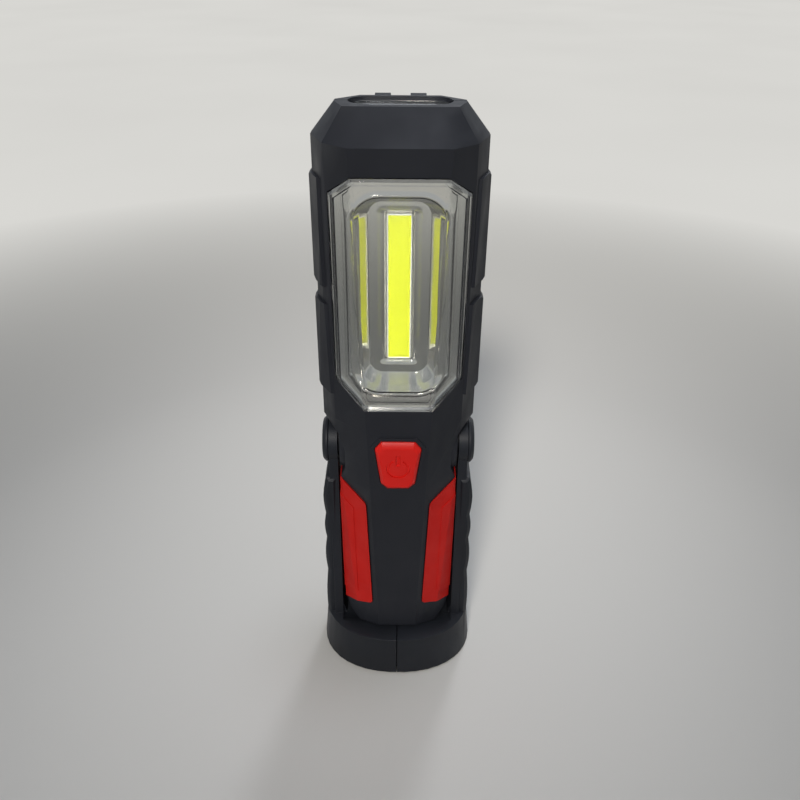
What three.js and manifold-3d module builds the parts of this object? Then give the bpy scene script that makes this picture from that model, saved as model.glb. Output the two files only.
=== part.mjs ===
// Hand-held work light: a faceted lamp body with a long window lamp and a top torch, which swings
// between the two arms of a magnetic stand and hangs from a fold-out hook on its back.
// Millimetres. +Z is up, the window faces -Y, and the origin is the middle of the foot.
import * as THREE from 'three';
import { mergeVertices } from 'three/addons/utils/BufferGeometryUtils.js';
import Module from 'manifold-3d';

const wasm = await Module();
wasm.setup();

// Clearances that the pieces share
const seamGap = 0.3;
const fitGap = 0.3;
const slideGap = 0.25;
const layerGap = 0.1;
const overrun = 1;

// Battery cells, their sprung contacts and the bay that holds them side by side
const cellCount = 3;
const cellRadius = 5.25;
const cellBody = 43.5;
const cellNib = 1;
const cellNibRadius = 1.9;
const contactThick = 0.4;
const contactSpring = 1.5;
const contactSpringRadius = 3;
const contactTipRadius = 1.7;
const contactLap = 0.2;
const bayWall = 1.3;
const cellPitch = 2 * (cellRadius + layerGap);
const bayHalf = (cellPitch * (cellCount - 1)) / 2 + cellRadius + fitGap;
const cellLength = cellBody + cellNib;
const contactRise = layerGap + contactThick + contactSpring;

// Heights, stacked from the bench up: dish of the foot, tail, battery bay, pivot, top of the lamp
const overallHeight = 215;
const dishRise = 17.3;
const swingGap = 0.8;
const bayOverTail = 12.1;
const pivotOverBay = 18.6;
const bayLow = dishRise + swingGap + bayOverTail;
const cellLow = bayLow + contactRise + layerGap;
const bayHigh = cellLow + cellLength + layerGap + contactRise;
const pivotHeight = bayHigh + pivotOverBay;
const dishRadius = pivotHeight - dishRise;

// Handle, by its sides: walls round the bay, waist at the pivot, and flare up to the head
const housingWall = 2;
const handleMargin = 4.25;
const handleTaper = 0.5;
const waistIn = 1.7;
const handleTopDrop = 10;
const waistLowDrop = 5.5;
const waistHighLift = 2.2;
const tailCorner = 9.5;
const gripHalfWidth = bayHalf + handleMargin;
const waistHalfWidth = gripHalfWidth - waistIn;

// Head: half widths and depths of its facets, by height
const headOut = 5.9;
const topBevelIn = 7.3;
const topBevelRise = 9.2;
const browLift = 14.1;
const tailFront = 17.3;
const browFront = 18.2;
const headFront = 18.5;
const topFront = 9;
const backDepth = 17;
const topBack = 7.5;
const tailFacet = 7;
const browFacet = 10.7;
const headFacet = 14.9;
const topFacet = 10.5;
const backFacet = 14;
const topBackFacet = 12;
const tailShoulderIn = 6;
const browShoulderIn = 4.6;
const headShoulderIn = 4.2;
const topShoulderIn = 2.6;
const sideFlatHalf = 1.5;
const facetSlopeShare = 0.85;
const tailSlopeShare = 0.49;
const topSlopeShare = 0.05;
const headHalfWidth = gripHalfWidth + headOut;
const topHalfWidth = headHalfWidth - topBevelIn;

// Chin of the head, which overhangs the eyes of the stand's arms
const chinIn = 0.5;
const chinLift = 8.6;
const chinTopLift = 12.2;

// Window: its clear cover, and the reflector trough with the lit strip behind it
const windowTopDrop = 17.5;
const windowLift = 23.1;
const windowMargin = 5.4;
const windowTopIn = 6.8;
const windowBottomIn = 9.8;
const windowTopChamfer = 5.7;
const windowBottomChamfer = 8;
const windowTop = overallHeight - windowTopDrop;
const windowBottom = pivotHeight + windowLift;
const windowHeight = windowTop - windowBottom;
const windowHalfWidth = headHalfWidth - windowMargin;
const coverProud = 0.9;
const coverEdgeProud = 0.35;
const coverBevel = 1.6;
const flangeThick = 1.5;
const flangeLap = 1.2;
const troughWall = 1.2;
const troughDeep = 5.7;
const troughMouthIn = 7.1;
const troughMouthLowSet = 6.4;
const troughMouthHighSet = 5.9;
const troughMouthCorner = 8;
const troughFloorIn = 6.65;
const troughFloorLowSet = 7.3;
const troughFloorHighSet = 3.8;
const troughFloorCorner = 2.5;
const stripIn = 3.5;
const stripLowSet = 2.9;
const stripHighSet = 2.6;
const stripSink = 0.3;
const stripBoardLap = 2.2;
const stripBoardThick = 1.1;
const sinkPlateLap = 5;
const sinkPlateThick = 1.5;
const flangeTop = housingWall + fitGap;
const troughMouthDepth = headFront - flangeTop;
const troughFloorDepth = troughMouthDepth - troughDeep;
const troughMouthHalf = windowHalfWidth - troughMouthIn;
const troughMouthLow = windowBottom + troughMouthLowSet;
const troughMouthHigh = windowTop - troughMouthHighSet;
const troughFloorHalf = troughMouthHalf - troughFloorIn;
const troughFloorLow = troughMouthLow + troughFloorLowSet;
const troughFloorHigh = troughMouthHigh - troughFloorHighSet;
const stripHalfWidth = troughFloorHalf - stripIn;
const stripLow = troughFloorLow + stripLowSet;
const stripHigh = troughFloorHigh - stripHighSet;

// Raised rails along both sides of the head, as shares of the window's height
const railProud = 1;
const railHalfDepth = 9.3;
const railBevel = 0.8;
const railShares = [{ low: 0.018, high: 0.447 }, { low: 0.525, high: 0.968 }];

// Top torch: clear lens, reflector block with five cups, lamps and their board, in one collar
const lensSideMargin = 4.1;
const lensBackMargin = 1.8;
const lensHalfLength = topHalfWidth - lensSideMargin;
const lensHalfWidth = topBack - lensBackMargin;
const lensRecess = 1.1;
const lensThick = 1.9;
const torchDepth = 7.1;
const collarWall = 1.4;
const collarLip = 1.2;
const ledCount = 5;
const ledMargin = 3.5;
const ledPitch = (2 * (lensHalfLength - ledMargin)) / (ledCount - 1);
const ledRadius = 1.45;
const ledHeight = 3.6;
const ledFlange = 0.35;
const ledFlangeThick = 0.6;
const cupTopRadius = 2.6;
const cupBottomRadius = 2.15;
const ledBoardThick = 1.2;

// Power button, its switch and the circuit board
const buttonDrop = 8.5;
const buttonHeight = 19.5;
const buttonTopChamfer = 2.8;
const buttonBottomChamfer = 2.2;
const buttonTopHalf = 5.7;
const buttonShoulderHalf = 7.95;
const buttonWaistHalf = 5.95;
const buttonBottomHalf = 3.65;
const buttonBottom = pivotHeight - buttonDrop;
const buttonTop = buttonBottom + buttonHeight;
const buttonProud = 1.6;
const buttonEdgeProud = 0.8;
const buttonBevel = 1.2;
const buttonBrow = 1.1;
const buttonFlange = 1.2;
const buttonFlangeThick = 1;
const buttonStemRadius = 2;
const buttonTravel = 0.8;
const surroundProud = 0.4;
const surroundWidth = 1.5;
const boardHalfWidth = 14;
const boardUnderButton = 5.4;
const boardOverButton = 8;
const boardThick = 1.6;
const boardFrontDepth = 9.6;
const boardPostRadius = 1.8;
const boardPostInset = 2.6;
const switchHalf = 3;
const switchHeight = 2;
const switchPlungerRadius = 1.6;
const switchPlungerHeight = 0.7;

// Side grips: soft panels that wrap from the front facets round the sides
const gripProud = 0.4;
const gripSink = 0.8;
const gripTipDrop = 10.5;
const gripOverTail = 13.4;
const gripKneeIn = 9.1;
const gripFootIn = 10.9;
const gripFootCorner = 2.2;
const gripTipSlopeShare = 0.72;
const gripFootSlopeShare = 0.38;
const gripWrap = 7.5;
const gripPadProud = 0.3;
const gripPadKneeDrop = 10.8;
const gripPadFootLift = 3.5;
const gripPadIn = 4.3;
const gripPadFootIn = 5.3;
const gripPadSet = 2;

// Battery door over the bay
const doorSideLap = 1.05;
const doorLowLap = 2;
const doorHighLap = 2.5;
const doorCorner = 2;
const doorThick = 2;
const latchHalfWidth = 5;
const latchRibs = 3;
const latchPitch = 2.2;
const latchRibHigh = 0.4;
const latchRibWide = 0.9;
const latchSet = 4;

// Screws that close the housing, driven from the back: a pair in the head, brow and tail
const headScrewIn = 5.5;
const headScrewDrop = 12.8;
const browScrewIn = 7.5;
const browScrewLift = 16.5;
const tailScrewIn = 9.5;
const tailScrewLift = 6.5;
const screwShank = 1.1;
const screwHead = 2.2;
const screwHeadThick = 1.7;
const screwSeat = 4;
const screwBite = 7;
const screwPilot = 1.3;
const screwSink = 2.6;
const screwPostFront = 2.6;
const screwPostBack = 3.6;

// Hook on the back of the head, folded down at rest
const hookProud = 1.2;
const hookTopDrop = 4;
const hookBarrel = 1.8;
const hookHalfWidth = 2.75;
const hookThick = 2.5;
const hookDrop = 24.5;
const hookRingOuter = 10.5;
const hookRingInner = 6.3;
const hookMouthAngle = 0.19;
const hookPinRadius = 0.8;
const hookPinGap = 0.15;
const earRadius = 2.7;
const earGap = 0.3;
const earWide = 4.9;
const earFoot = 7.5;
const earFootProud = 0.2;
const earRootSink = 2;
const earCrest = 1;
const earCrestSink = 7.5;
const hookAxisBack = backDepth + hookProud;
const hookAxisRise = overallHeight - hookTopDrop;

// Pivot: boss on the lamp, pin, washer, clip and cap
const bossRadius = 10.4;
const bossProud = 0.4;
const bossBevel = 1;
const pinRadius = 3;
const pinGap = 0.15;
const pinHeadRadius = 5;
const pinHeadThick = 1.3;
const washerRadius = 6;
const washerThick = 0.5;
const clipRadius = 5;
const clipThick = 0.6;
const clipSink = 1.3;
const capRadius = 8.4;
const capThick = 2.1;
const capBevel = 1.1;
const bossFace = gripHalfWidth + bossProud;

// Stand: two mirrored halves, each an arm on half of the foot; the arm's soft pad is scalloped
const armThick = 3.3;
const armHeadHalf = 7;
const armFootHalf = 10;
const armFootRise = 14;
const heelIn = 1.2;
const heelLowLift = 0.8;
const heelHighLift = 5.5;
const armInner = bossFace + washerThick + 2 * layerGap;
const padStartIn = 0.7;
const padHalfDepth = 8.2;
const padBevel = 1.3;
const padTopDrop = 12.4;
const padFootProud = 6.2;
const padTopProud = 4.7;
const padSwell = 0.75;
const padRiseShares = [0, 0.366, 0.598, 0.76, 1];
const padOutShares = [0, 0.3, 0.46, 0.53, 1];
const padSwellShares = [0.8, 0.93, 0.87, 1.33];
const footMargin = 5.1;
const footHalfDepth = 24.5;
const footPower = 2.2;
const footEase = 0.8;
const footShoulderRise = 17.9;
const footShoulderIn = 1.5;
const footShoulderSet = 0.9;
const footLipRise = 19.4;
const footLipIn = 6.3;
const footLipSet = 8.1;
const footHalfWidth = armInner + armThick + footMargin;
const pocketWall = 3.2;
const pocketRise = 12;
const coverPlateThick = 2;
const magnetMargin = 12.4;
const magnetThick = 4.8;
const magnetCupWall = 1.3;
const magnetRadius = footHalfDepth - magnetMargin;
const footScrewIn = 12.5;
const footScrewSet = 13.5;
const footPostRadius = 3;
const footScrewShank = 1.05;
const footScrewHead = 2.1;
const footScrewHeadThick = 0.9;
const footScrewSink = 0.4;
const footScrewBite = 6;

// Steps of curves, as counts
const roundSteps = 28;
const smallSteps = 16;
const tinySteps = 12;
const cornerSteps = 5;
const scallopSteps = 6;
const footSteps = 40;
const spanSteps = [4, 1, 4];

const sides = [{ word: 'left', sign: -1 }, { word: 'right', sign: 1 }];
const X = new THREE.Vector3(1, 0, 0);
const Y = new THREE.Vector3(0, 1, 0);
const Z = new THREE.Vector3(0, 0, 1);
const planes = {
  x: new THREE.Matrix4().makeBasis(Y, Z, X),
  y: new THREE.Matrix4().makeBasis(X, Z, Y.clone().negate()),
  z: new THREE.Matrix4(),
};

// Outlines: lists of [u, v] points
function arc(u, v, radius, from, to, steps) {
  return Array.from({ length: steps + 1 }, (_, i) => {
    const angle = from + ((to - from) * i) / steps;
    return [u + radius * Math.cos(angle), v + radius * Math.sin(angle)];
  });
}

function circle(u, v, radius, steps = roundSteps) {
  return arc(u, v, radius, 0, 2 * Math.PI, steps).slice(0, -1);
}

function rectangle(left, right, low, high) {
  return [[left, low], [right, low], [right, high], [left, high]];
}

function obround(halfLength, radius) {
  const centre = halfLength - radius;
  return [
    ...arc(centre, 0, radius, -Math.PI / 2, Math.PI / 2, smallSteps),
    ...arc(-centre, 0, radius, Math.PI / 2, (3 * Math.PI) / 2, smallSteps),
  ];
}

function mirrored(rightHalf) {
  const leftHalf = rightHalf.map(([u, v]) => [-u, v]).reverse();
  return [...rightHalf, ...leftHalf];
}

// Moves every edge of an anticlockwise outline outwards by one distance, with mitred corners
function grown(points, distance) {
  return points.map((point, i) => {
    const before = points.at(i - 1);
    const after = points[(i + 1) % points.length];
    const first = new THREE.Vector2(point[1] - before[1], before[0] - point[0]).normalize();
    const second = new THREE.Vector2(after[1] - point[1], point[0] - after[0]).normalize();
    const reach = distance / (1 + first.dot(second));
    return [point[0] + (first.x + second.x) * reach, point[1] + (first.y + second.y) * reach];
  });
}

// Rounds corners with arcs tangent to both edges; radii holds one radius for each corner
function rounded(points, radii) {
  return points.flatMap((point, i) => {
    const radius = radii[i];
    if (!(radius > 0)) return [point];
    const corner = new THREE.Vector2(...point);
    const before = new THREE.Vector2(...points.at(i - 1)).sub(corner).normalize();
    const after = new THREE.Vector2(...points[(i + 1) % points.length]).sub(corner).normalize();
    const half = Math.acos(before.dot(after)) / 2;
    const middle = before.clone().add(after).normalize();
    const centre = corner.clone().add(middle.clone().multiplyScalar(radius / Math.sin(half)));
    const start = before.clone().multiplyScalar(radius / Math.tan(half)).add(corner).sub(centre);
    const turn = Math.sign(after.cross(before)) * (Math.PI - 2 * half);
    return arc(centre.x, centre.y, radius, start.angle(), start.angle() + turn, cornerSteps);
  });
}

// Solids: every builder returns a manifold solid in the light's own frame
function solidOf(geometry) {
  geometry.deleteAttribute('uv');
  geometry.deleteAttribute('normal');
  const merged = mergeVertices(geometry);
  const corners = merged.index.array;
  const triangles = [];
  for (let i = 0; i < corners.length; i += 3) {
    const [a, b, c] = corners.slice(i, i + 3);
    if (a !== b && b !== c && c !== a) triangles.push(a, b, c);
  }
  const built = (order) => new wasm.Manifold(new wasm.Mesh({
    numProp: 3,
    vertProperties: new Float32Array(merged.attributes.position.array),
    triVerts: new Uint32Array(order),
  }));
  const solid = built(triangles);
  return solid.volume() > 0 ? solid : built(triangles.reverse());
}

function prism(points, axis, low, high, bevel = 0) {
  const shape = new THREE.Shape(points.map(([u, v]) => new THREE.Vector2(u, v)));
  const geometry = new THREE.ExtrudeGeometry(shape, {
    depth: high - low - 2 * bevel,
    bevelEnabled: bevel > 0,
    bevelThickness: bevel,
    bevelSize: bevel,
    bevelOffset: -bevel,
    bevelSegments: 1,
  });
  geometry.translate(0, 0, bevel);
  geometry.applyMatrix4(planes[axis]);
  const shift = { x: X, y: Y, z: Z }[axis].clone().multiplyScalar(axis === 'y' ? high : low);
  geometry.translate(shift.x, shift.y, shift.z);
  return solidOf(geometry);
}

// A turned piece: profile of [radius, along] points, with its axis along one of the frame's axes
function turned(profile, axis = 'z', steps = roundSteps) {
  const geometry = new THREE.LatheGeometry(profile.map(([r, h]) => new THREE.Vector2(r, h)), steps);
  if (axis === 'z') geometry.rotateX(Math.PI / 2);
  if (axis === 'x') geometry.rotateZ(-Math.PI / 2);
  return solidOf(geometry);
}

// A skin through closed rings of [x, y, z] points, closed by a flat cap at each end
function loft(rings) {
  const count = rings[0].length;
  const last = (rings.length - 1) * count;
  const index = [];
  for (let start = 0; start < last; start += count) {
    for (let i = 0; i < count; i += 1) {
      const here = start + i;
      const next = start + ((i + 1) % count);
      index.push(here, next, next + count, here, next + count, here + count);
    }
  }
  for (let i = 1; i < count - 1; i += 1) {
    index.push(0, i + 1, i, last, last + i, last + i + 1);
  }
  const geometry = new THREE.BufferGeometry();
  geometry.setAttribute('position', new THREE.Float32BufferAttribute(rings.flat(2), 3));
  geometry.setIndex(index);
  return solidOf(geometry);
}

function joined(solids) {
  return solids.reduce((sum, solid) => sum.add(solid));
}

function both(build) {
  return joined(sides.map(({ sign }) => build(sign)));
}

// A span along X on one side of the middle plane
function sideSpan(sign, near, far) {
  return sign > 0 ? [near, far] : [-far, -near];
}

// Lamp housing form: a twelve-sided loft, trimmed by its front outline and by the round tail that
// clears the dish of the foot. Each section falls back from its front facet by a slope as far as a
// shoulder, and from there straight to a narrow flat on the side; the back mirrors this.
const bevelHeight = overallHeight - topBevelRise;
const endRadius = dishRadius - swingGap;
const wide = overallHeight;

const head = {
  side: headHalfWidth, back: backDepth, rear: backFacet, rearShoulder: headHalfWidth - headShoulderIn,
};
const tail = { shoulder: gripHalfWidth - tailShoulderIn, slope: tailSlopeShare };
const brow = { shoulder: headHalfWidth - browShoulderIn, slope: facetSlopeShare };
const crown = { shoulder: headHalfWidth - headShoulderIn, slope: facetSlopeShare };
const topShoulder = topHalfWidth - topShoulderIn;
const top = { shoulder: topShoulder, slope: topSlopeShare, rearShoulder: topShoulder, rear: topBackFacet };
const stations = [
  { ...head, ...tail, up: dishRise - overrun, front: tailFront, facet: tailFacet },
  { ...head, ...brow, up: pivotHeight + browLift, front: browFront, facet: browFacet },
  { ...head, ...crown, up: bevelHeight, front: headFront, facet: headFacet },
  { ...top, up: overallHeight, side: topHalfWidth, front: topFront, back: topBack, facet: topFacet },
];

// The housing's section at one height, blended between the stations above and below it
function sectionAt(height) {
  const upper = Math.max(1, stations.findIndex(({ up }) => up >= height));
  const [below, above] = [stations[upper - 1], stations[upper]];
  const share = (height - below.up) / (above.up - below.up);
  const blend = (key) => [key, below[key] + (above[key] - below[key]) * share];
  return Object.fromEntries(Object.keys(head).concat('front', 'facet', 'shoulder', 'slope').map(blend));
}

function sectionOutline({ side, front, back, facet, rear, shoulder, slope, rearShoulder }) {
  const right = [
    [facet, -front],
    [shoulder, slope * (shoulder - facet) - front],
    [side, -sideFlatHalf],
    [side, sideFlatHalf],
    [rearShoulder, back - facetSlopeShare * (rearShoulder - rear)],
    [rear, back],
  ];
  return mirrored(right);
}

// The body's outer form moved inwards by inset, or outwards where inset is negative; each span
// between two stations has rings enough for its facets to twist evenly
function bodyForm(inset) {
  const top = Math.min(overallHeight - inset, overallHeight);
  const ends = [...stations.slice(0, -1).map(({ up }) => up), top];
  const levels = spanSteps.flatMap((steps, k) => (
    Array.from({ length: steps }, (_, i) => ends[k] + ((ends[k + 1] - ends[k]) * i) / steps)
  ));
  const rings = [...levels, top].map((height) => (
    grown(sectionOutline(sectionAt(height)), -inset).map(([x, y]) => [x, y, height])
  ));
  return loft(rings).intersect(prism(frontOutline(inset), 'y', -wide, wide))
    .intersect(prism(tailOutline(inset), 'x', -wide, wide));
}

function frontOutline(inset) {
  const right = [
    [gripHalfWidth - handleTaper, pivotHeight - endRadius],
    [gripHalfWidth, pivotHeight - handleTopDrop],
    [waistHalfWidth, pivotHeight - waistLowDrop],
    [waistHalfWidth, pivotHeight + waistHighLift],
    [armInner - chinIn, pivotHeight + chinLift],
    [headHalfWidth, pivotHeight + chinTopLift],
    [headHalfWidth, overallHeight + overrun],
  ];
  const outline = grown(mirrored(right), -inset);
  const corner = tailCorner - inset;
  return rounded(outline, outline.map((_, i) => (i === 0 || i === outline.length - 1 ? corner : 0)));
}

function tailOutline(inset) {
  const radius = endRadius - inset;
  const swing = Math.asin((backDepth + overrun + overrun) / endRadius);
  const end = arc(0, pivotHeight, radius, -Math.PI / 2 - swing, -Math.PI / 2 + swing, cornerSteps * 2);
  const [first, last] = [end[0], end.at(-1)];
  return [...end, [last[0], overallHeight + overrun], [first[0], overallHeight + overrun]];
}

// Depth of the housing's front facet below a height, as a distance in front of the middle plane
function frontAt(height) {
  return sectionAt(height).front;
}

function windowOutline(growth = 0) {
  const right = [
    [windowHalfWidth - windowBottomIn, windowBottom],
    [windowHalfWidth, windowBottom + windowBottomChamfer],
    [windowHalfWidth, windowTop - windowTopChamfer],
    [windowHalfWidth - windowTopIn, windowTop],
  ];
  return grown(mirrored(right), growth);
}

function buttonOutline(growth = 0) {
  const right = [
    [buttonBottomHalf, buttonBottom],
    [buttonWaistHalf, buttonBottom + buttonBottomChamfer],
    [buttonShoulderHalf, buttonTop - buttonTopChamfer],
    [buttonTopHalf, buttonTop],
  ];
  return grown(mirrored(right), growth);
}

// A front-view outline cut or kept through the front half of the body
function frontPrism(outline, depth = 0) {
  return prism(outline, 'y', -wide, -depth);
}

function rails() {
  const raised = bodyForm(-railProud);
  return both((sign) => joined(railShares.map(({ low, high }) => {
    const ends = [low, high].map((share) => windowBottom + share * windowHeight);
    const outline = rectangle(-railHalfDepth, railHalfDepth, ends[0], ends[1]);
    const span = sideSpan(sign, waistHalfWidth, headHalfWidth + railProud);
    return raised.intersect(prism(outline, 'x', span[0], span[1], railBevel));
  })));
}

function pivotBosses() {
  return both((sign) => {
    const span = sideSpan(sign, waistHalfWidth - housingWall, bossFace);
    return prism(circle(0, pivotHeight, bossRadius), 'x', span[0], span[1], bossBevel);
  });
}

function hookEars() {
  const web = [
    [backDepth - earRootSink, hookAxisRise - earFoot],
    [backDepth + earFootProud, hookAxisRise - earFoot],
    [hookAxisBack + earRadius, hookAxisRise],
    [hookAxisBack, hookAxisRise + earRadius],
    [backDepth - earCrestSink, hookAxisRise + earCrest],
  ];
  const eye = circle(hookAxisBack, hookAxisRise, earRadius, smallSteps);
  const boreOutline = circle(hookAxisBack, hookAxisRise, hookPinRadius + hookPinGap, tinySteps);
  const bore = prism(boreOutline, 'x', -wide, wide);
  return both((sign) => {
    const near = hookHalfWidth + earGap;
    const span = sideSpan(sign, near, near + earWide);
    return prism(web, 'x', span[0], span[1]).add(prism(eye, 'x', span[0], span[1]));
  }).subtract(bore);
}

// Grip outlines in the front view; the outer edge lies outside the body, so the grip takes its side
const gripFootRise = dishRise + swingGap + gripOverTail;

function gripOutline(sign, growth = 0) {
  const gripFootHalf = gripHalfWidth - gripFootIn;
  const gripKneeHalf = gripHalfWidth - gripKneeIn;
  const rise = (x) => pivotHeight - gripTipDrop + (x - gripHalfWidth) * gripTipSlopeShare;
  const points = [
    [gripFootHalf, gripFootRise],
    [headHalfWidth, gripFootRise - (headHalfWidth - gripFootHalf) * gripFootSlopeShare],
    [headHalfWidth, rise(headHalfWidth)],
    [gripKneeHalf, rise(gripKneeHalf)],
  ];
  const outline = rounded(grown(points, growth), [gripFootCorner, 0, 0, gripFootCorner]);
  return outline.map(([x, z]) => [sign * x, z]);
}

function gripPadOutline(sign) {
  const kneeHalf = gripHalfWidth - gripPadIn;
  const knee = pivotHeight - gripTipDrop - gripPadKneeDrop;
  const foot = gripFootRise + gripPadFootLift;
  const out = headHalfWidth - kneeHalf;
  const points = [
    [gripHalfWidth - gripPadFootIn, foot],
    [headHalfWidth, foot - out * gripFootSlopeShare],
    [headHalfWidth, knee + out * gripTipSlopeShare],
    [kneeHalf, knee],
  ];
  return points.map(([x, z]) => [sign * x, z]);
}

const doorHalfWidth = bayHalf + doorSideLap;
const doorHigh = bayHigh + doorHighLap;

function doorOutline(growth = 0) {
  const outline = grown(rectangle(-doorHalfWidth, doorHalfWidth, bayLow - doorLowLap, doorHigh), growth);
  return rounded(outline, outline.map(() => doorCorner + growth));
}

const outerForm = bodyForm(0);
const innerForm = bodyForm(housingWall);
const coreForm = bodyForm(housingWall / 2);

// Heights of the torch stack in its collar
const lensTop = overallHeight - lensRecess;
const lensLow = lensTop - lensThick;
const torchTop = lensLow - layerGap;
const torchLow = torchTop - torchDepth;
const ledBoardTop = torchLow - layerGap;
const ledBoardLow = ledBoardTop - ledBoardThick;
const collarSeat = ledBoardLow - layerGap;
const collarLow = collarSeat - collarLip;

function collar() {
  const reach = fitGap + collarWall;
  const tube = obround(lensHalfLength + reach, lensHalfWidth + reach);
  return prism(tube, 'z', collarLow, overallHeight + overrun).intersect(outerForm);
}

function collarBore() {
  const bore = obround(lensHalfLength + fitGap, lensHalfWidth + fitGap);
  const mouth = obround(lensHalfLength + fitGap - collarLip, lensHalfWidth + fitGap - collarLip);
  const drain = prism(mouth, 'z', collarLow - overrun, collarSeat + overrun);
  return prism(bore, 'z', collarSeat, overallHeight + overrun).add(drain);
}

function gripRecess() {
  const outer = bodyForm(-gripProud - overrun);
  const skin = outer.subtract(bodyForm(gripSink + fitGap));
  return both((sign) => skin.intersect(
    prism(gripOutline(sign, slideGap), 'y', -wide, gripWrap + slideGap),
  ));
}

function pivotBores() {
  return prism(circle(0, pivotHeight, pinRadius + pinGap, smallSteps), 'x', -wide, wide);
}

// Both housing halves start from this hollow body, and each keeps its side of the seam
const shell = outerForm.add(rails()).subtract(innerForm).add(pivotBosses()).add(collar())
  .subtract(collarBore()).subtract(gripRecess()).subtract(pivotBores());

// Places of the housing screws, as [x, z], in pairs from the head down
const screwPlaces = [
  [headHalfWidth - headScrewIn, overallHeight - headScrewDrop],
  [headHalfWidth - browScrewIn, pivotHeight + browScrewLift],
  [gripHalfWidth - tailScrewIn, dishRise + swingGap + tailScrewLift],
].flatMap(([out, up]) => sides.map(({ sign }) => [sign * out, up]));

function eachScrew(build) {
  return joined(screwPlaces.map(([x, z]) => build(x, z)));
}

const boardLow = buttonBottom - boardUnderButton;
const boardHigh = buttonTop + boardOverButton;
const boardPosts = [boardLow + boardPostInset, boardHigh - boardPostInset];
const boardPostOut = boardHalfWidth - boardPostInset;

function frontHousing() {
  const half = shell.intersect(prism(rectangle(-wide, wide, -wide, -seamGap / 2), 'z', -overrun, wide));
  const screwPosts = eachScrew((x, z) => (
    prism(circle(x, z, screwPostFront, tinySteps), 'y', -wide, -seamGap / 2)
  ));
  const screwHoles = eachScrew((x, z) => (
    prism(circle(x, z, screwPilot, tinySteps), 'y', -screwBite - overrun, overrun)
  ));
  const rest = (x, z) => circle(x, z, boardPostRadius, tinySteps);
  const rests = both((sign) => joined(boardPosts.map((height) => (
    prism(rest(sign * boardPostOut, height), 'y', -wide, -boardFrontDepth - fitGap)
  ))));
  const surround = bodyForm(-surroundProud).subtract(coreForm)
    .intersect(frontPrism(buttonOutline(surroundWidth)));
  return half.add(screwPosts.add(rests).intersect(coreForm)).add(surround)
    .subtract(screwHoles)
    .subtract(frontPrism(windowOutline(slideGap), troughFloorDepth / 2))
    .subtract(frontPrism(buttonOutline(slideGap), boardFrontDepth + fitGap));
}

// Battery bay, open at the back under its door
const cellBack = backDepth - doorThick - 2 * fitGap - cellRadius;
const bayFloor = cellBack - cellRadius - fitGap;

function rearHousing() {
  const half = shell.intersect(prism(rectangle(-wide, wide, seamGap / 2, wide), 'z', -overrun, wide));
  const bay = grown(rectangle(-bayHalf, bayHalf, bayLow, bayHigh), bayWall);
  const bayBox = prism(bay, 'y', bayFloor - bayWall, wide);
  const bayHollow = prism(rectangle(-bayHalf, bayHalf, bayLow, bayHigh), 'y', bayFloor, wide);
  const doorSeat = prism(doorOutline(fitGap), 'y', bayFloor, wide).subtract(bodyForm(doorThick + fitGap));
  const posts = eachScrew((x, z) => prism(circle(x, z, screwPostBack, smallSteps), 'y', seamGap / 2, wide));
  const holes = eachScrew((x, z) => (
    prism(circle(x, z, screwPilot, tinySteps), 'y', -overrun, wide)
      .add(prism(circle(x, z, screwSink, smallSteps), 'y', screwSeat, wide))
  ));
  return half.add(bayBox.add(posts).intersect(coreForm)).add(hookEars())
    .subtract(bayHollow).subtract(doorSeat).subtract(holes);
}

function windowCover() {
  const edge = bodyForm(-coverEdgeProud).intersect(frontPrism(windowOutline(), troughFloorDepth / 2));
  const face = bodyForm(-coverProud)
    .intersect(frontPrism(windowOutline(-coverBevel), troughFloorDepth / 2));
  return edge.add(face).subtract(innerForm);
}

// One closed ring of the trough: a rounded rectangle that narrows from mouth to floor
function troughRing(depth, growth) {
  const share = (depth - troughFloorDepth) / (troughMouthDepth - troughFloorDepth);
  const blend = (floor, mouth) => floor + (mouth - floor) * share;
  const half = blend(troughFloorHalf, troughMouthHalf) + growth;
  const low = blend(troughFloorLow, troughMouthLow) - growth;
  const high = blend(troughFloorHigh, troughMouthHigh) + growth;
  const outline = rectangle(-half, half, low, high);
  const corner = blend(troughFloorCorner, troughMouthCorner) + growth;
  return rounded(outline, outline.map(() => corner)).map(([x, z]) => [x, -depth, z]);
}

const troughBack = troughFloorDepth - troughWall;
const troughReach = 2 * troughMouthDepth - troughFloorDepth;
const stripOutline = rectangle(-stripHalfWidth, stripHalfWidth, stripLow, stripHigh);

function windowReflector() {
  const seat = bodyForm(flangeTop);
  const flange = seat.subtract(bodyForm(flangeTop + flangeThick))
    .intersect(frontPrism(windowOutline(flangeLap), troughFloorDepth / 2));
  const outside = loft([troughRing(troughReach, troughWall), troughRing(troughBack, troughWall)]);
  const inside = loft([troughRing(troughReach, 0), troughRing(troughFloorDepth, 0)]);
  const slot = prism(grown(stripOutline, fitGap), 'y', -wide, 0);
  return flange.add(outside.intersect(seat)).subtract(inside).subtract(slot);
}

const stripBoardFront = troughBack - fitGap;
const stripBoardBack = stripBoardFront - stripBoardThick;

function lightStrip() {
  return prism(stripOutline, 'y', -(troughFloorDepth - stripSink), -(stripBoardFront + layerGap));
}

function stripBoard() {
  const [low, high] = [stripLow - stripBoardLap, stripHigh + stripBoardLap];
  const half = stripHalfWidth + stripBoardLap;
  const outline = rectangle(-half, half, low, high);
  return prism(outline, 'y', -stripBoardFront, -stripBoardBack);
}

function sinkPlate() {
  const [low, high] = [stripLow - sinkPlateLap, stripHigh + sinkPlateLap];
  const half = stripHalfWidth + sinkPlateLap;
  const outline = rectangle(-half, half, low, high);
  const front = stripBoardBack - layerGap;
  return prism(outline, 'y', -front, -(front - sinkPlateThick));
}

function torchLens() {
  return prism(obround(lensHalfLength, lensHalfWidth), 'z', lensLow, lensTop);
}

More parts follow.
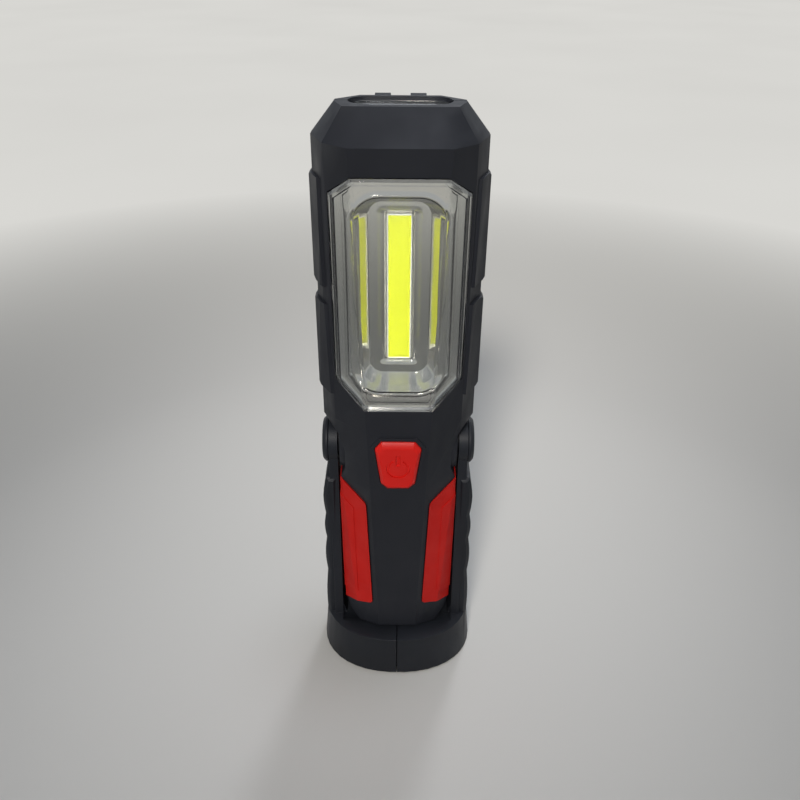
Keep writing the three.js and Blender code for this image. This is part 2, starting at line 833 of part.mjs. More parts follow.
function ledPlaces() {
  return Array.from({ length: ledCount }, (_, i) => (i - (ledCount - 1) / 2) * ledPitch);
}

function torchReflector() {
  const block = prism(obround(lensHalfLength, lensHalfWidth), 'z', torchLow, torchTop);
  const profile = [
    [0, torchLow - overrun],
    [cupBottomRadius, torchLow - overrun],
    [cupBottomRadius, torchLow],
    [cupTopRadius, torchTop],
    [cupTopRadius, torchTop + overrun],
    [0, torchTop + overrun],
  ];
  const cup = turned(profile, 'z', smallSteps);
  return ledPlaces().reduce((rest, x) => rest.subtract(cup.translate([x, 0, 0])), block);
}

function torchBoard() {
  return prism(obround(lensHalfLength, lensHalfWidth), 'z', ledBoardLow, ledBoardTop);
}

// A lamp with a flange, a straight barrel and a round dome, standing on its own origin
function torchLed() {
  const dome = arc(0, ledHeight - ledRadius, ledRadius, 0, Math.PI / 2, cornerSteps).slice(0, -1);
  const profile = [
    [0, 0],
    [ledRadius + ledFlange, 0],
    [ledRadius + ledFlange, ledFlangeThick],
    [ledRadius, ledFlangeThick],
    ...dome,
    [0, ledHeight],
  ];
  return turned(profile, 'z', tinySteps);
}

// Power button: cap with a bevelled rim, flange behind the wall, and stem over the switch
const buttonFlangeFront = frontAt(buttonBottom) - housingWall - fitGap;
const buttonFlangeBack = buttonFlangeFront - buttonFlangeThick;
const buttonMiddle = (buttonTop + buttonBottom) / 2;
const switchFront = boardFrontDepth + layerGap + switchHeight;
const plungerFront = switchFront + switchPlungerHeight;

// The cap's face: its outline moved in by the bevel, with a deeper bevel at the top
function buttonFace() {
  return buttonOutline(-buttonBevel).map(([x, z]) => [x, z > buttonMiddle ? z - buttonBrow : z]);
}

function powerButton() {
  const lifted = (outline, proud) => outline.map(([x, z]) => [x, -frontAt(z) - proud, z]);
  const cap = loft([
    buttonOutline().map(([x, z]) => [x, -buttonFlangeBack, z]),
    lifted(buttonOutline(), buttonEdgeProud),
    lifted(buttonFace(), buttonProud),
  ]);
  const flange = prism(buttonOutline(buttonFlange), 'y', -buttonFlangeFront, -buttonFlangeBack);
  const stemEnd = plungerFront + buttonTravel + layerGap;
  const stemOutline = circle(0, buttonMiddle, buttonStemRadius, smallSteps);
  const stem = prism(stemOutline, 'y', -buttonFlangeFront, -stemEnd);
  return cap.add(flange).add(stem);
}

function circuitBoard() {
  const outline = rectangle(-boardHalfWidth, boardHalfWidth, boardLow, boardHigh);
  return prism(outline, 'y', -boardFrontDepth, -(boardFrontDepth - boardThick));
}

function tactSwitch() {
  const outline = rectangle(-switchHalf, switchHalf, buttonMiddle - switchHalf, buttonMiddle + switchHalf);
  const body = prism(outline, 'y', -switchFront, -(boardFrontDepth + layerGap));
  const plunger = circle(0, buttonMiddle, switchPlungerRadius, smallSteps);
  return body.add(prism(plunger, 'y', -plungerFront, -(boardFrontDepth + 2 * layerGap)));
}

// A soft side grip: a skin that follows the body, with a raised inner panel
function sideGrip(sign) {
  const skin = bodyForm(-gripProud).subtract(bodyForm(gripSink));
  const pad = bodyForm(-gripProud - gripPadProud).subtract(outerForm);
  const zone = prism(gripOutline(sign), 'y', -wide, gripWrap);
  const padZone = prism(gripPadOutline(sign), 'y', -wide, gripWrap - gripPadSet);
  return skin.intersect(zone).add(pad.intersect(padZone));
}

function batteryDoor() {
  const panel = outerForm.subtract(bodyForm(doorThick))
    .intersect(prism(doorOutline(), 'y', bayFloor, wide));
  const ribs = joined(Array.from({ length: latchRibs }, (_, i) => {
    const low = doorHigh - latchSet - i * latchPitch - latchRibWide / 2;
    const outline = rectangle(-latchHalfWidth, latchHalfWidth, low, low + latchRibWide);
    return prism(outline, 'y', backDepth - doorThick / 2, backDepth + latchRibHigh);
  }));
  return panel.add(ribs);
}

// A dry cell standing on its own origin, nib up
function batteryCell() {
  return turned([
    [0, 0],
    [cellRadius, 0],
    [cellRadius, cellBody],
    [cellNibRadius, cellBody],
    [cellNibRadius, cellLength],
    [0, cellLength],
  ], 'z', smallSteps);
}

function cellPlaces() {
  return Array.from({ length: cellCount }, (_, i) => (i - (cellCount - 1) / 2) * cellPitch);
}

// A contact plate lying on its own origin, with one sprung cone for each cell
function batteryContact() {
  const half = bayHalf - contactLap;
  const plate = rectangle(-half, half, bayFloor + contactLap, cellBack + contactSpringRadius);
  const cone = turned([
    [0, contactThick / 2],
    [contactSpringRadius, contactThick / 2],
    [contactSpringRadius, contactThick],
    [contactTipRadius, contactThick + contactSpring],
    [0, contactThick + contactSpring],
  ], 'z', smallSteps);
  const cones = cellPlaces().map((x) => cone.translate([x, cellBack, 0]));
  return joined([prism(plate, 'z', 0, contactThick), ...cones]);
}

function housingScrew() {
  return turned([
    [0, -screwBite],
    [screwShank, -screwBite],
    [screwShank, screwSeat + layerGap],
    [screwHead, screwSeat + layerGap],
    [screwHead, screwSeat + layerGap + screwHeadThick],
    [0, screwSeat + layerGap + screwHeadThick],
  ], 'y', tinySteps);
}

// Hook: a barrel on the pin, a flat shank and an open ring with a round tip
function hook() {
  const front = hookAxisBack + hookBarrel - hookThick;
  const back = hookAxisBack + hookBarrel;
  const centre = hookAxisRise - hookDrop;
  const tip = Math.PI - hookMouthAngle;
  const end = (5 * Math.PI) / 2;
  const band = [
    ...arc(0, centre, hookRingOuter, tip, end, roundSteps),
    ...arc(0, centre, hookRingInner, end, tip, roundSteps),
  ];
  const middle = (hookRingOuter + hookRingInner) / 2;
  const tipRadius = (hookRingOuter - hookRingInner) / 2;
  const tipCircle = circle(middle * Math.cos(tip), centre + middle * Math.sin(tip), tipRadius, smallSteps);
  const shank = rectangle(-hookHalfWidth, hookHalfWidth, centre + middle, hookAxisRise);
  const barrel = circle(hookAxisBack, hookAxisRise, hookBarrel, smallSteps);
  const bore = circle(hookAxisBack, hookAxisRise, hookPinRadius + hookPinGap, tinySteps);
  return joined([band, tipCircle, shank].map((outline) => prism(outline, 'y', front, back)))
    .add(prism(barrel, 'x', -hookHalfWidth, hookHalfWidth))
    .subtract(prism(bore, 'x', -wide, wide));
}

function hookPin() {
  const half = hookHalfWidth + earGap + earWide - layerGap;
  return prism(circle(hookAxisBack, hookAxisRise, hookPinRadius, tinySteps), 'x', -half, half);
}

// Pivot pieces, each turned about X and standing on the right side; the left ones are turned round
const eyeFace = armInner + armThick;
const pinHeadFace = waistHalfWidth - housingWall - 2 * layerGap;
const clipSeat = eyeFace - clipSink + layerGap;

function pivotPin() {
  return turned([
    [0, pinHeadFace - pinHeadThick],
    [pinHeadRadius, pinHeadFace - pinHeadThick],
    [pinHeadRadius, pinHeadFace],
    [pinRadius, pinHeadFace],
    [pinRadius, clipSeat + 2 * clipThick],
    [0, clipSeat + 2 * clipThick],
  ], 'x', smallSteps);
}

function ring(outer, inner, near, far) {
  return turned([[inner, near], [outer, near], [outer, far], [inner, far], [inner, near]], 'x', smallSteps);
}

function pivotWasher() {
  return ring(washerRadius, pinRadius + pinGap, bossFace + layerGap, bossFace + layerGap + washerThick);
}

function pivotClip() {
  return ring(clipRadius, pinRadius + pinGap, clipSeat, clipSeat + clipThick);
}

function pivotCap() {
  const near = eyeFace + layerGap;
  return turned([
    [0, near],
    [capRadius, near],
    [capRadius, near + capThick - capBevel],
    [capRadius - capBevel, near + capThick],
    [0, near + capThick],
  ], 'x');
}

// Foot outline: a superellipse, as a closed ring of points at one height
function footRing(halfWidth, halfDepth, height) {
  return Array.from({ length: footSteps }, (_, i) => {
    const angle = (2 * Math.PI * (i + 1 / 2)) / footSteps;
    const [c, s] = [Math.cos(angle), Math.sin(angle)];
    const x = halfWidth * Math.sign(c) * Math.abs(c) ** (2 / footPower);
    const y = halfDepth * Math.sign(s) * Math.abs(s) ** (2 / footPower);
    return [x, y, height];
  });
}

function footBlock() {
  const block = loft([
    footRing(footHalfWidth - footEase, footHalfDepth - footEase, 0),
    footRing(footHalfWidth, footHalfDepth, footEase),
    footRing(footHalfWidth - footShoulderIn, footHalfDepth - footShoulderSet, footShoulderRise),
    footRing(footHalfWidth - footLipIn, footHalfDepth - footLipSet, footLipRise),
  ]);
  const swing = Math.asin((footHalfDepth - footShoulderSet) / dishRadius);
  const dish = arc(0, pivotHeight, dishRadius, -Math.PI / 2 - swing, -Math.PI / 2 + swing, smallSteps);
  return block.subtract(prism([...dish, [0, pivotHeight]], 'x', -armInner, armInner));
}

const pocketHalf = footHalfWidth - pocketWall;
const pocketDepth = footHalfDepth - pocketWall;

function footScrewPlaces() {
  const [out, back] = [footHalfWidth - footScrewIn, footHalfDepth - footScrewSet];
  return sides.flatMap(({ sign }) => [-1, 1].map((end) => [sign * out, end * back]));
}

function arm(sign) {
  const span = sideSpan(sign, armInner, eyeFace);
  const blade = [
    [-armFootHalf, armFootRise],
    [armFootHalf, armFootRise],
    [armHeadHalf, pivotHeight],
    [-armHeadHalf, pivotHeight],
  ];
  const padTop = pivotHeight - padTopDrop;
  const start = armInner + padStartIn;
  const between = (from, to, share) => from + (to - from) * share;
  const outAt = (share) => armInner + between(padFootProud, padTopProud, share);
  const crest = (swellShare, k) => Array.from({ length: scallopSteps }, (_, i) => {
    const along = i / scallopSteps;
    const swell = padSwell * swellShare * Math.sin(Math.PI * along);
    const rise = between(padRiseShares[k], padRiseShares[k + 1], along);
    const out = outAt(between(padOutShares[k], padOutShares[k + 1], along));
    return [out + swell, between(armFootRise, padTop, rise)];
  });
  const outer = [...padSwellShares.flatMap(crest), [outAt(1), padTop]];
  const pad = [[start, armFootRise], ...outer, [start, padTop]].map(([x, z]) => [sign * x, z]);
  const heel = [
    [start, armFootRise],
    [start, dishRise + heelHighLift],
    [armInner, dishRise + heelHighLift],
    [armInner - heelIn, dishRise + heelLowLift],
    [armInner - heelIn, armFootRise],
  ].map(([x, z]) => [sign * x, z]);
  return prism(blade, 'x', span[0], span[1])
    .add(prism(heel, 'y', -padHalfDepth, padHalfDepth))
    .add(prism(circle(0, pivotHeight, capRadius), 'x', span[0], span[1]))
    .add(prism(pad, 'y', -padHalfDepth, padHalfDepth, padBevel));
}

function standHalf(sign) {
  const keep = sideSpan(sign, seamGap / 2, wide);
  const half = footBlock().intersect(prism(rectangle(keep[0], keep[1], -wide, wide), 'z', -overrun, wide));
  const pocket = loft([
    footRing(pocketHalf, pocketDepth, -overrun),
    footRing(pocketHalf, pocketDepth, pocketRise),
  ]);
  const places = footScrewPlaces().filter(([x]) => x * sign > 0);
  const posts = joined(places.map(([x, y]) => (
    prism(circle(x, y, footPostRadius, smallSteps), 'z', coverPlateThick + layerGap, pocketRise + overrun)
  )));
  const pilots = joined(places.map(([x, y]) => (
    prism(circle(x, y, screwPilot, tinySteps), 'z', 0, coverPlateThick + footScrewBite + overrun)
  )));
  const recess = sideSpan(sign, eyeFace - clipSink, wide);
  return half.add(arm(sign)).subtract(pocket).add(posts).subtract(pilots)
    .subtract(pivotBores())
    .subtract(prism(circle(0, pivotHeight, clipRadius + fitGap, smallSteps), 'x', recess[0], recess[1]));
}

function footCover() {
  const plate = loft([
    footRing(pocketHalf - fitGap, pocketDepth - fitGap, 0),
    footRing(pocketHalf - fitGap, pocketDepth - fitGap, coverPlateThick),
  ]);
  const cupInner = magnetRadius + slideGap;
  const cupTop = coverPlateThick + layerGap + magnetThick;
  const cup = prism(circle(0, 0, cupInner + magnetCupWall), 'z', coverPlateThick / 2, cupTop)
    .subtract(prism(circle(0, 0, cupInner), 'z', coverPlateThick, cupTop + overrun));
  const seatTop = footScrewSink + footScrewHeadThick;
  const holes = joined(footScrewPlaces().map(([x, y]) => (
    prism(circle(x, y, screwPilot, tinySteps), 'z', -overrun, coverPlateThick + overrun)
      .add(prism(circle(x, y, footScrewHead + fitGap, smallSteps), 'z', -overrun, seatTop))
  )));
  return plate.add(cup).subtract(holes);
}

function footMagnet() {
  const low = coverPlateThick + layerGap;
  return prism(circle(0, 0, magnetRadius), 'z', low, low + magnetThick);
}

// A screw for the foot cover, head down, standing on its own origin
function footScrew() {
  return turned([
    [0, footScrewSink],
    [footScrewHead, footScrewSink],
    [footScrewHead, footScrewSink + footScrewHeadThick - layerGap],
    [footScrewShank, footScrewSink + footScrewHeadThick - layerGap],
    [footScrewShank, coverPlateThick + footScrewBite],
    [0, coverPlateThick + footScrewBite],
  ], 'z', tinySteps);
}

// Finishes
function finish(color, roughness, metalness = 0, more = {}) {
  return new THREE.MeshStandardMaterial({ color, roughness, metalness, ...more });
}

const softBlack = finish('#24262c', 0.62);
const standBlack = finish('#202228', 0.58);
const buttonRed = finish('#d8201f', 0.42);
const gripRed = finish('#b32424', 0.6);
const clear = finish('#e8eef0', 0.06, 0, { transparent: true, opacity: 0.3 });
const chromed = finish('#dfe2e4', 0.08, 1);
const phosphor = finish('#e6f03a', 0.5);
const whiteBoard = finish('#f0f0ea', 0.5);
const greenBoard = finish('#1f5b34', 0.5);
const steel = finish('#a6a8ab', 0.3, 1);
const alloy = finish('#b9bcc0', 0.4, 1);
const cellWrap = finish('#3b6ea8', 0.4);
const nylon = finish('#e9e6dc', 0.5);
const ferrite = finish('#5a5c60', 0.35, 0.8);

function toMesh(name, solid, material) {
  const { vertProperties, triVerts } = solid.getMesh();
  const geometry = new THREE.BufferGeometry();
  geometry.setAttribute('position', new THREE.Float32BufferAttribute(vertProperties, 3));
  geometry.setIndex(Array.from(triVerts));
  geometry.computeVertexNormals();
  const mesh = new THREE.Mesh(geometry, material);
  mesh.name = name;
  return mesh;
}

// The lamp, with everything that swings with it
function lampGroup() {
  const lamp = new THREE.Group();
  lamp.add(toMesh('front_housing', frontHousing(), softBlack));
  lamp.add(toMesh('rear_housing', rearHousing(), softBlack));
  lamp.add(toMesh('window_cover', windowCover(), clear));
  lamp.add(toMesh('window_reflector', windowReflector(), chromed));
  lamp.add(toMesh('light_strip', lightStrip(), phosphor));
  lamp.add(toMesh('strip_board', stripBoard(), whiteBoard));
  lamp.add(toMesh('heat_plate', sinkPlate(), alloy));
  lamp.add(toMesh('torch_lens', torchLens(), clear));
  lamp.add(toMesh('torch_reflector', torchReflector(), chromed));
  lamp.add(toMesh('torch_board', torchBoard(), whiteBoard));
  lamp.add(toMesh('power_button', powerButton(), buttonRed));
  lamp.add(toMesh('circuit_board', circuitBoard(), greenBoard));
  lamp.add(toMesh('tact_switch', tactSwitch(), nylon));
  lamp.add(toMesh('battery_door', batteryDoor(), softBlack));
  lamp.add(toMesh('hook', hook(), softBlack));
  lamp.add(toMesh('hook_pin', hookPin(), steel));
  sides.forEach(({ word, sign }) => lamp.add(toMesh(`grip_${word}`, sideGrip(sign), gripRed)));
  ledPlaces().forEach((x, i) => {
    const led = toMesh(`torch_led_${i + 1}`, torchLed(), clear);
    led.position.set(x, 0, ledBoardTop + layerGap);
    lamp.add(led);
  });
  cellPlaces().forEach((x, i) => {
    const cell = toMesh(`battery_cell_${i + 1}`, batteryCell(), cellWrap);
    const turnedOver = i % 2 === 1;
    cell.position.set(x, cellBack, turnedOver ? cellLow + cellLength : cellLow);
    cell.rotation.y = turnedOver ? Math.PI : 0;
    lamp.add(cell);
  });
  const lowContact = toMesh('battery_contact_low', batteryContact(), steel);
  lowContact.position.z = bayLow + layerGap;
  const highContact = toMesh('battery_contact_high', batteryContact(), steel);
  highContact.position.z = bayHigh - layerGap;
  highContact.rotation.y = Math.PI;
  lamp.add(lowContact, highContact);
  screwPlaces.forEach(([x, z], i) => {
    const screw = toMesh(`housing_screw_${i + 1}`, housingScrew(), steel);
    screw.position.set(x, 0, z);
    lamp.add(screw);
  });
  return lamp;
}

// Pivot pieces on one side: the group stands on the pivot axis and is turned round for the left side
function pivotGroup(word, sign) {
  const pieces = new THREE.Group();
  pieces.add(toMesh(`pivot_pin_${word}`, pivotPin(), steel));
  pieces.add(toMesh(`pivot_washer_${word}`, pivotWasher(), standBlack));
  pieces.add(toMesh(`pivot_clip_${word}`, pivotClip(), steel));
  pieces.add(toMesh(`pivot_cap_${word}`, pivotCap(), standBlack));
  pieces.position.z = pivotHeight;
  pieces.rotation.z = sign > 0 ? 0 : Math.PI;
  return pieces;
}

function standGroup() {
  const stand = new THREE.Group();
  sides.forEach(({ word, sign }) => stand.add(toMesh(`stand_half_${word}`, standHalf(sign), standBlack)));
  stand.add(toMesh('foot_cover', footCover(), standBlack));
  stand.add(toMesh('foot_magnet', footMagnet(), ferrite));
  footScrewPlaces().forEach(([x, y], i) => {
    const screw = toMesh(`foot_screw_${i + 1}`, footScrew(), steel);
    screw.position.set(x, y, 0);
    stand.add(screw);
  });
  return stand;
}

const group = new THREE.Group();
group.add(lampGroup(), standGroup());
sides.forEach(({ word, sign }) => group.add(pivotGroup(word, sign)));

export default group;
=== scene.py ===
"""Looks of a hand-held work light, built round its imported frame.

Sizes in the classes are millimetres and meshes are metres. +Z is up and the window faces -Y.
Each sub-assembly is a class that builds its meshes and dresses them, and each finish is a small class.
"""

import logging
import math
from dataclasses import dataclass
from enum import Enum
from typing import Any, Optional, Sequence

import bmesh
import bpy
import numpy as np
from mathutils import Matrix, Vector


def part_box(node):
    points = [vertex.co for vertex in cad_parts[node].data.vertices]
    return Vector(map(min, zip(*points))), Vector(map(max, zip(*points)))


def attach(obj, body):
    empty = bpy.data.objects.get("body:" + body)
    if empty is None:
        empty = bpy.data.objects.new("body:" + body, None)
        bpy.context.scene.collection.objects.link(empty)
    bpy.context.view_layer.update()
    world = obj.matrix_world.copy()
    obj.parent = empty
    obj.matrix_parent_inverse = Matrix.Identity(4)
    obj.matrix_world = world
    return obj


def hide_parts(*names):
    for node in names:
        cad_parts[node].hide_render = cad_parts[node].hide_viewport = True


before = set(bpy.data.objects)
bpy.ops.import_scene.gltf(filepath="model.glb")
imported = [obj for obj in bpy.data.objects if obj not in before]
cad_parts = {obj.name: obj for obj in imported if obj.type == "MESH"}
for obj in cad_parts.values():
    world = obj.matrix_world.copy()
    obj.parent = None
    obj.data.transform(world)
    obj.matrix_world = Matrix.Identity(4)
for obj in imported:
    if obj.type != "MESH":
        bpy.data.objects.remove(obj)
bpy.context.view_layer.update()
MM = 0.001
EASE_WELD = 0.03
EASE_ANGLE = 30.0
FLAT_ANGLE = 0.7
log = logging.getLogger("work_light")

Socket = bpy.types.NodeSocket


class Body(Enum):
    """The bodies that pieces ride on."""

    STAND = "stand"
    LAMP = "lamp"
    HOOK = "hook_arm"
    BUTTON = "button"
    DOOR = "door"


def linear(colour: str) -> tuple[float, float, float, float]:
    """Turns an sRGB hex colour into linear light.

    Args:
        colour: A colour such as "#24262c".

    Returns:
        Linear red, green and blue, and an alpha of 1.
    """
    srgb = np.array([int(colour[i:i + 2], 16) for i in (1, 3, 5)]) / 255
    light = np.where(srgb <= 0.04045, srgb / 12.92, ((srgb + 0.055) / 1.055) ** 2.4)
    return (*light.tolist(), 1.0)


def add_node(tree: bpy.types.NodeTree, kind: str, values: Optional[dict] = None,
             links: Optional[dict] = None, **settings: Any) -> bpy.types.Node:
    """Adds one shader node.

    Args:
        tree: The material's or world's node tree.
        kind: The node's type name.
        values: Input values by socket name or number.
        links: Output sockets to join, by input name or number.
        **settings: The node's own settings.

    Returns:
        The new node.
    """
    node = tree.nodes.new(kind)
    for name, value in settings.items():
        setattr(node, name, value)
    for name, value in (values or {}).items():
        node.inputs[name].default_value = value
    for name, socket in (links or {}).items():
        tree.links.new(socket, node.inputs[name])
    return node


def blank_material(name: str) -> tuple[bpy.types.Material, bpy.types.NodeTree]:
    """Makes a material with an empty node tree, and returns both."""
    material = bpy.data.materials.new(name)
    material.use_nodes = True
    material.node_tree.nodes.clear()
    return material, material.node_tree


def noise(tree: bpy.types.NodeTree, size: float, detail: float = 2.0,
          stretch: Sequence[float] = (1, 1, 1)) -> Socket:
    """Adds noise whose blobs are a real size.

    Args:
        tree: The material's node tree.
        size: Size of a blob in millimetres.
        detail: Octaves of finer noise.
        stretch: Shares by which the pattern is squeezed along each axis.

    Returns:
        The noise's value, from 0 to 1.
    """
    place = add_node(tree, "ShaderNodeTexCoord").outputs["Object"]
    turned = add_node(tree, "ShaderNodeMapping", {"Scale": tuple(stretch)}, {"Vector": place})
    return add_node(tree, "ShaderNodeTexNoise", {"Scale": 1 / (size * MM), "Detail": detail},
                    {"Vector": turned.outputs["Vector"]}).outputs["Fac"]


def spread(tree: bpy.types.NodeTree, value: Socket, low: float, high: float,
           start: float = 0.3, end: float = 0.7) -> Socket:
    """Maps a noise value between two numbers, and returns the socket."""
    return add_node(tree, "ShaderNodeMapRange",
                    {"From Min": start, "From Max": end, "To Min": low, "To Max": high},
                    {"Value": value}).outputs["Result"]


def mixed_colour(tree: bpy.types.NodeTree, value: Socket, first: str, second: str) -> Socket:
    """Mixes two hex colours by a noise value, and returns the colour socket."""
    share = spread(tree, value, 0, 1)
    mix = add_node(tree, "ShaderNodeMix", {6: linear(first), 7: linear(second)}, {0: share},
                   data_type="RGBA")
    return mix.outputs[2]


def bumped(tree: bpy.types.NodeTree, height: Socket, depth: float) -> Socket:
    """Adds a bump of a real depth in millimetres, and returns the normal."""
    bump = add_node(tree, "ShaderNodeBump", {"Strength": 1.0, "Distance": depth * MM}, {"Height": height})
    return bump.outputs["Normal"]


def surfaced(tree: bpy.types.NodeTree, values: dict, links: dict) -> None:
    """Adds the Principled shader with its values and links, and joins it to the output."""
    shader = add_node(tree, "ShaderNodeBsdfPrincipled", values, links)
    add_node(tree, "ShaderNodeOutputMaterial", links={"Surface": shader.outputs["BSDF"]})


@dataclass(frozen=True)
class MouldedPlastic:
    """Injection-moulded ABS from a spark-eroded tool, bare or with a soft-touch coat.

    The eye gets an even dark skin with a fine grain, faint cloudy patches from handling, and broad
    soft highlights along the edges.
    """

    name: str
    colour: str
    cloud: str
    roughness: float = 0.52
    ior: float = 1.53
    sheen_level: float = 0.5
    grain: float = 0.45
    grain_depth: float = 0.012
    cloud_size: float = 16.0
    smudge: float = 0.07

    def material(self) -> bpy.types.Material:
        """Builds the material."""
        material, tree = blank_material(self.name)
        clouds = noise(tree, self.cloud_size, 3)
        colour = mixed_colour(tree, clouds, self.colour, self.cloud)
        marks = noise(tree, self.cloud_size / 3, 4, (1, 1, 0.4))
        rough = spread(tree, marks, self.roughness - self.smudge, self.roughness + self.smudge)
        normal = bumped(tree, noise(tree, self.grain, 1), self.grain_depth)
        surfaced(tree, {"IOR": self.ior, "Specular IOR Level": self.sheen_level},
                 {"Base Color": colour, "Roughness": rough, "Normal": normal})
        return material


@dataclass(frozen=True)
class MetallisedPlastic:
    """Vacuum-metallised ABS: an aluminium film on moulded plastic.

    The eye gets a mirror that bends what it shows a little, because the plastic under it sinks.
    """

    name: str
    colour: str
    roughness: float = 0.06
    sink: float = 7.0
    sink_depth: float = 0.02

    def material(self) -> bpy.types.Material:
        """Builds the material."""
        material, tree = blank_material(self.name)
        haze = noise(tree, self.sink, 2)
        rough = spread(tree, haze, self.roughness * 0.6, self.roughness * 1.5)
        normal = bumped(tree, noise(tree, self.sink, 1, (1, 1, 0.35)), self.sink_depth)
        surfaced(tree, {"Base Color": linear(self.colour), "Metallic": 1.0},
                 {"Roughness": rough, "Normal": normal})
        return material


@dataclass(frozen=True)
class ClearPolycarbonate:
    """Clear moulded polycarbonate: the eye sees through it, and its thick rim bends the light.

    Shadow rays pass through, so that the lamps light what lies behind it.
    """

    name: str
    colour: str = "#f6f8f8"
    roughness: float = 0.015
    ior: float = 1.585
    scuff: float = 5.0

    def material(self) -> bpy.types.Material:
        """Builds the material."""
        material, tree = blank_material(self.name)
        rough = spread(tree, noise(tree, self.scuff, 4), self.roughness, self.roughness * 3, 0.5, 0.8)
        values = {"Base Color": linear(self.colour), "IOR": self.ior, "Transmission Weight": 1.0}
        clear = add_node(tree, "ShaderNodeBsdfPrincipled", values, {"Roughness": rough})
        through = add_node(tree, "ShaderNodeBsdfTransparent")
        shadow = add_node(tree, "ShaderNodeLightPath").outputs["Is Shadow Ray"]
        mixed = add_node(tree, "ShaderNodeMixShader",
                         links={0: shadow, 1: clear.outputs["BSDF"], 2: through.outputs["BSDF"]})
        add_node(tree, "ShaderNodeOutputMaterial", links={"Surface": mixed.outputs["Shader"]})
        return material


@dataclass(frozen=True)
class PhosphorGel:
    """Silicone gel loaded with yellow phosphor: a saturated lemon yellow with a faint painted glow. An
    emission in its own colour stands in for the light that the phosphor turns from blue into yellow, though
    the strip is no lamp."""

    name: str
    colour: str
    cloud: str
    roughness: float = 0.34
    speck: float = 0.5
    ripple: float = 2.5
    ripple_depth: float = 0.02
    painted_glow: float = 0.06

    def material(self) -> bpy.types.Material:
        """Builds the material."""
        material, tree = blank_material(self.name)
        colour = mixed_colour(tree, noise(tree, self.speck, 2), self.colour, self.cloud)
        normal = bumped(tree, noise(tree, self.ripple, 2), self.ripple_depth)
        # Emission in the gel's own colour: a painted glow, since the strip is no lamp.
        surfaced(tree, {"Roughness": self.roughness, "Emission Color": linear(self.colour),
                        "Emission Strength": self.painted_glow}, {"Base Color": colour, "Normal": normal})
        return material


@dataclass(frozen=True)
class Rubber:
    """Thermoplastic elastomer, moulded over a core: matt, with a fine leathery grain."""

    name: str
    colour: str
    cloud: str
    roughness: float = 0.5
    sheen_level: float = 0.15
    patch: float = 9.0
    scuff: float = 5.0
    grain: float = 0.35
    grain_depth: float = 0.012

    def material(self) -> bpy.types.Material:
        """Builds the material."""
        material, tree = blank_material(self.name)
        patches = noise(tree, self.patch, 3)
        colour = mixed_colour(tree, patches, self.colour, self.cloud)
        scuffs = noise(tree, self.scuff, 4)
        rough = spread(tree, scuffs, self.roughness - 0.06, self.roughness + 0.08)
        normal = bumped(tree, noise(tree, self.grain, 1), self.grain_depth)
        surfaced(tree, {"IOR": 1.48, "Specular IOR Level": self.sheen_level},
                 {"Base Color": colour, "Roughness": rough, "Normal": normal})
        return material


@dataclass(frozen=True)
class Metal:
    """Plated or plain metal with fine lines left by how it was made.

    A small line spacing along one axis gives the eye turned or rolled metal.
    """

    name: str
    colour: str
    roughness: float
    line: float = 0.3
    line_depth: float = 0.006
    along: tuple[float, float, float] = (1, 1, 0.05)

    def material(self) -> bpy.types.Material:
        """Builds the material."""
        material, tree = blank_material(self.name)
        lines = noise(tree, self.line, 3, self.along)
        rough = spread(tree, lines, self.roughness * 0.8, self.roughness * 1.3)
        normal = bumped(tree, lines, self.line_depth)
        surfaced(tree, {"Base Color": linear(self.colour), "Metallic": 1.0},
                 {"Roughness": rough, "Normal": normal})
        return material


@dataclass(frozen=True)
class Board:
    """Glass-fibre board under solder mask: even and glossy, with a faint weave of the cloth below."""

    name: str
    colour: str
    cloud: str
    roughness: float = 0.35
    weave: float = 0.7
    weave_depth: float = 0.01

    def material(self) -> bpy.types.Material:
        """Builds the material."""
        material, tree = blank_material(self.name)
        cloth = noise(tree, self.weave, 1)
        colour = mixed_colour(tree, cloth, self.colour, self.cloud)
        normal = bumped(tree, cloth, self.weave_depth)
        surfaced(tree, {"Roughness": self.roughness}, {"Base Color": colour, "Normal": normal})
        return material


SOFT_BLACK = MouldedPlastic("soft_touch_abs", "#1e2026", "#22242a", roughness=0.5, sheen_level=0.2)
STAND_BLACK = MouldedPlastic("textured_abs", "#1b1d22", "#202329", roughness=0.46, sheen_level=0.2, grain=0.6)
BUTTON_RED = MouldedPlastic("button_abs", "#d01812", "#d81f18", roughness=0.4, sheen_level=0.25,
                            grain_depth=0.006, smudge=0.04)
GRIP_RED = Rubber("grip_elastomer", "#bd1a15", "#c6201a")
CHROMED = MetallisedPlastic("metallised_abs", "#c9c7c1")
CLEAR = ClearPolycarbonate("clear_polycarbonate")
PHOSPHOR = PhosphorGel("phosphor_gel", "#d6de2a", "#cfd721")
WHITE_MASK = Board("white_solder_mask", "#eceee6", "#e2e4da")
GREEN_MASK = Board("green_solder_mask", "#1f5b34", "#1a4f2d")
ZINC_STEEL = Metal("zinc_plated_steel", "#a9abad", 0.3)
SHEET_ALLOY = Metal("rolled_aluminium", "#bfc2c6", 0.38, along=(1, 0.05, 1))
CELL_WRAP = MouldedPlastic("shrink_wrap", "#2f62a0", "#376aa8", roughness=0.3, ior=1.5, grain=2.0)
NATURAL_NYLON = MouldedPlastic("natural_nylon", "#e6e2d6", "#ddd8ca", roughness=0.45, ior=1.53)
FERRITE = Metal("sintered_ferrite", "#56585c", 0.45, line=0.8, along=(1, 1, 1))


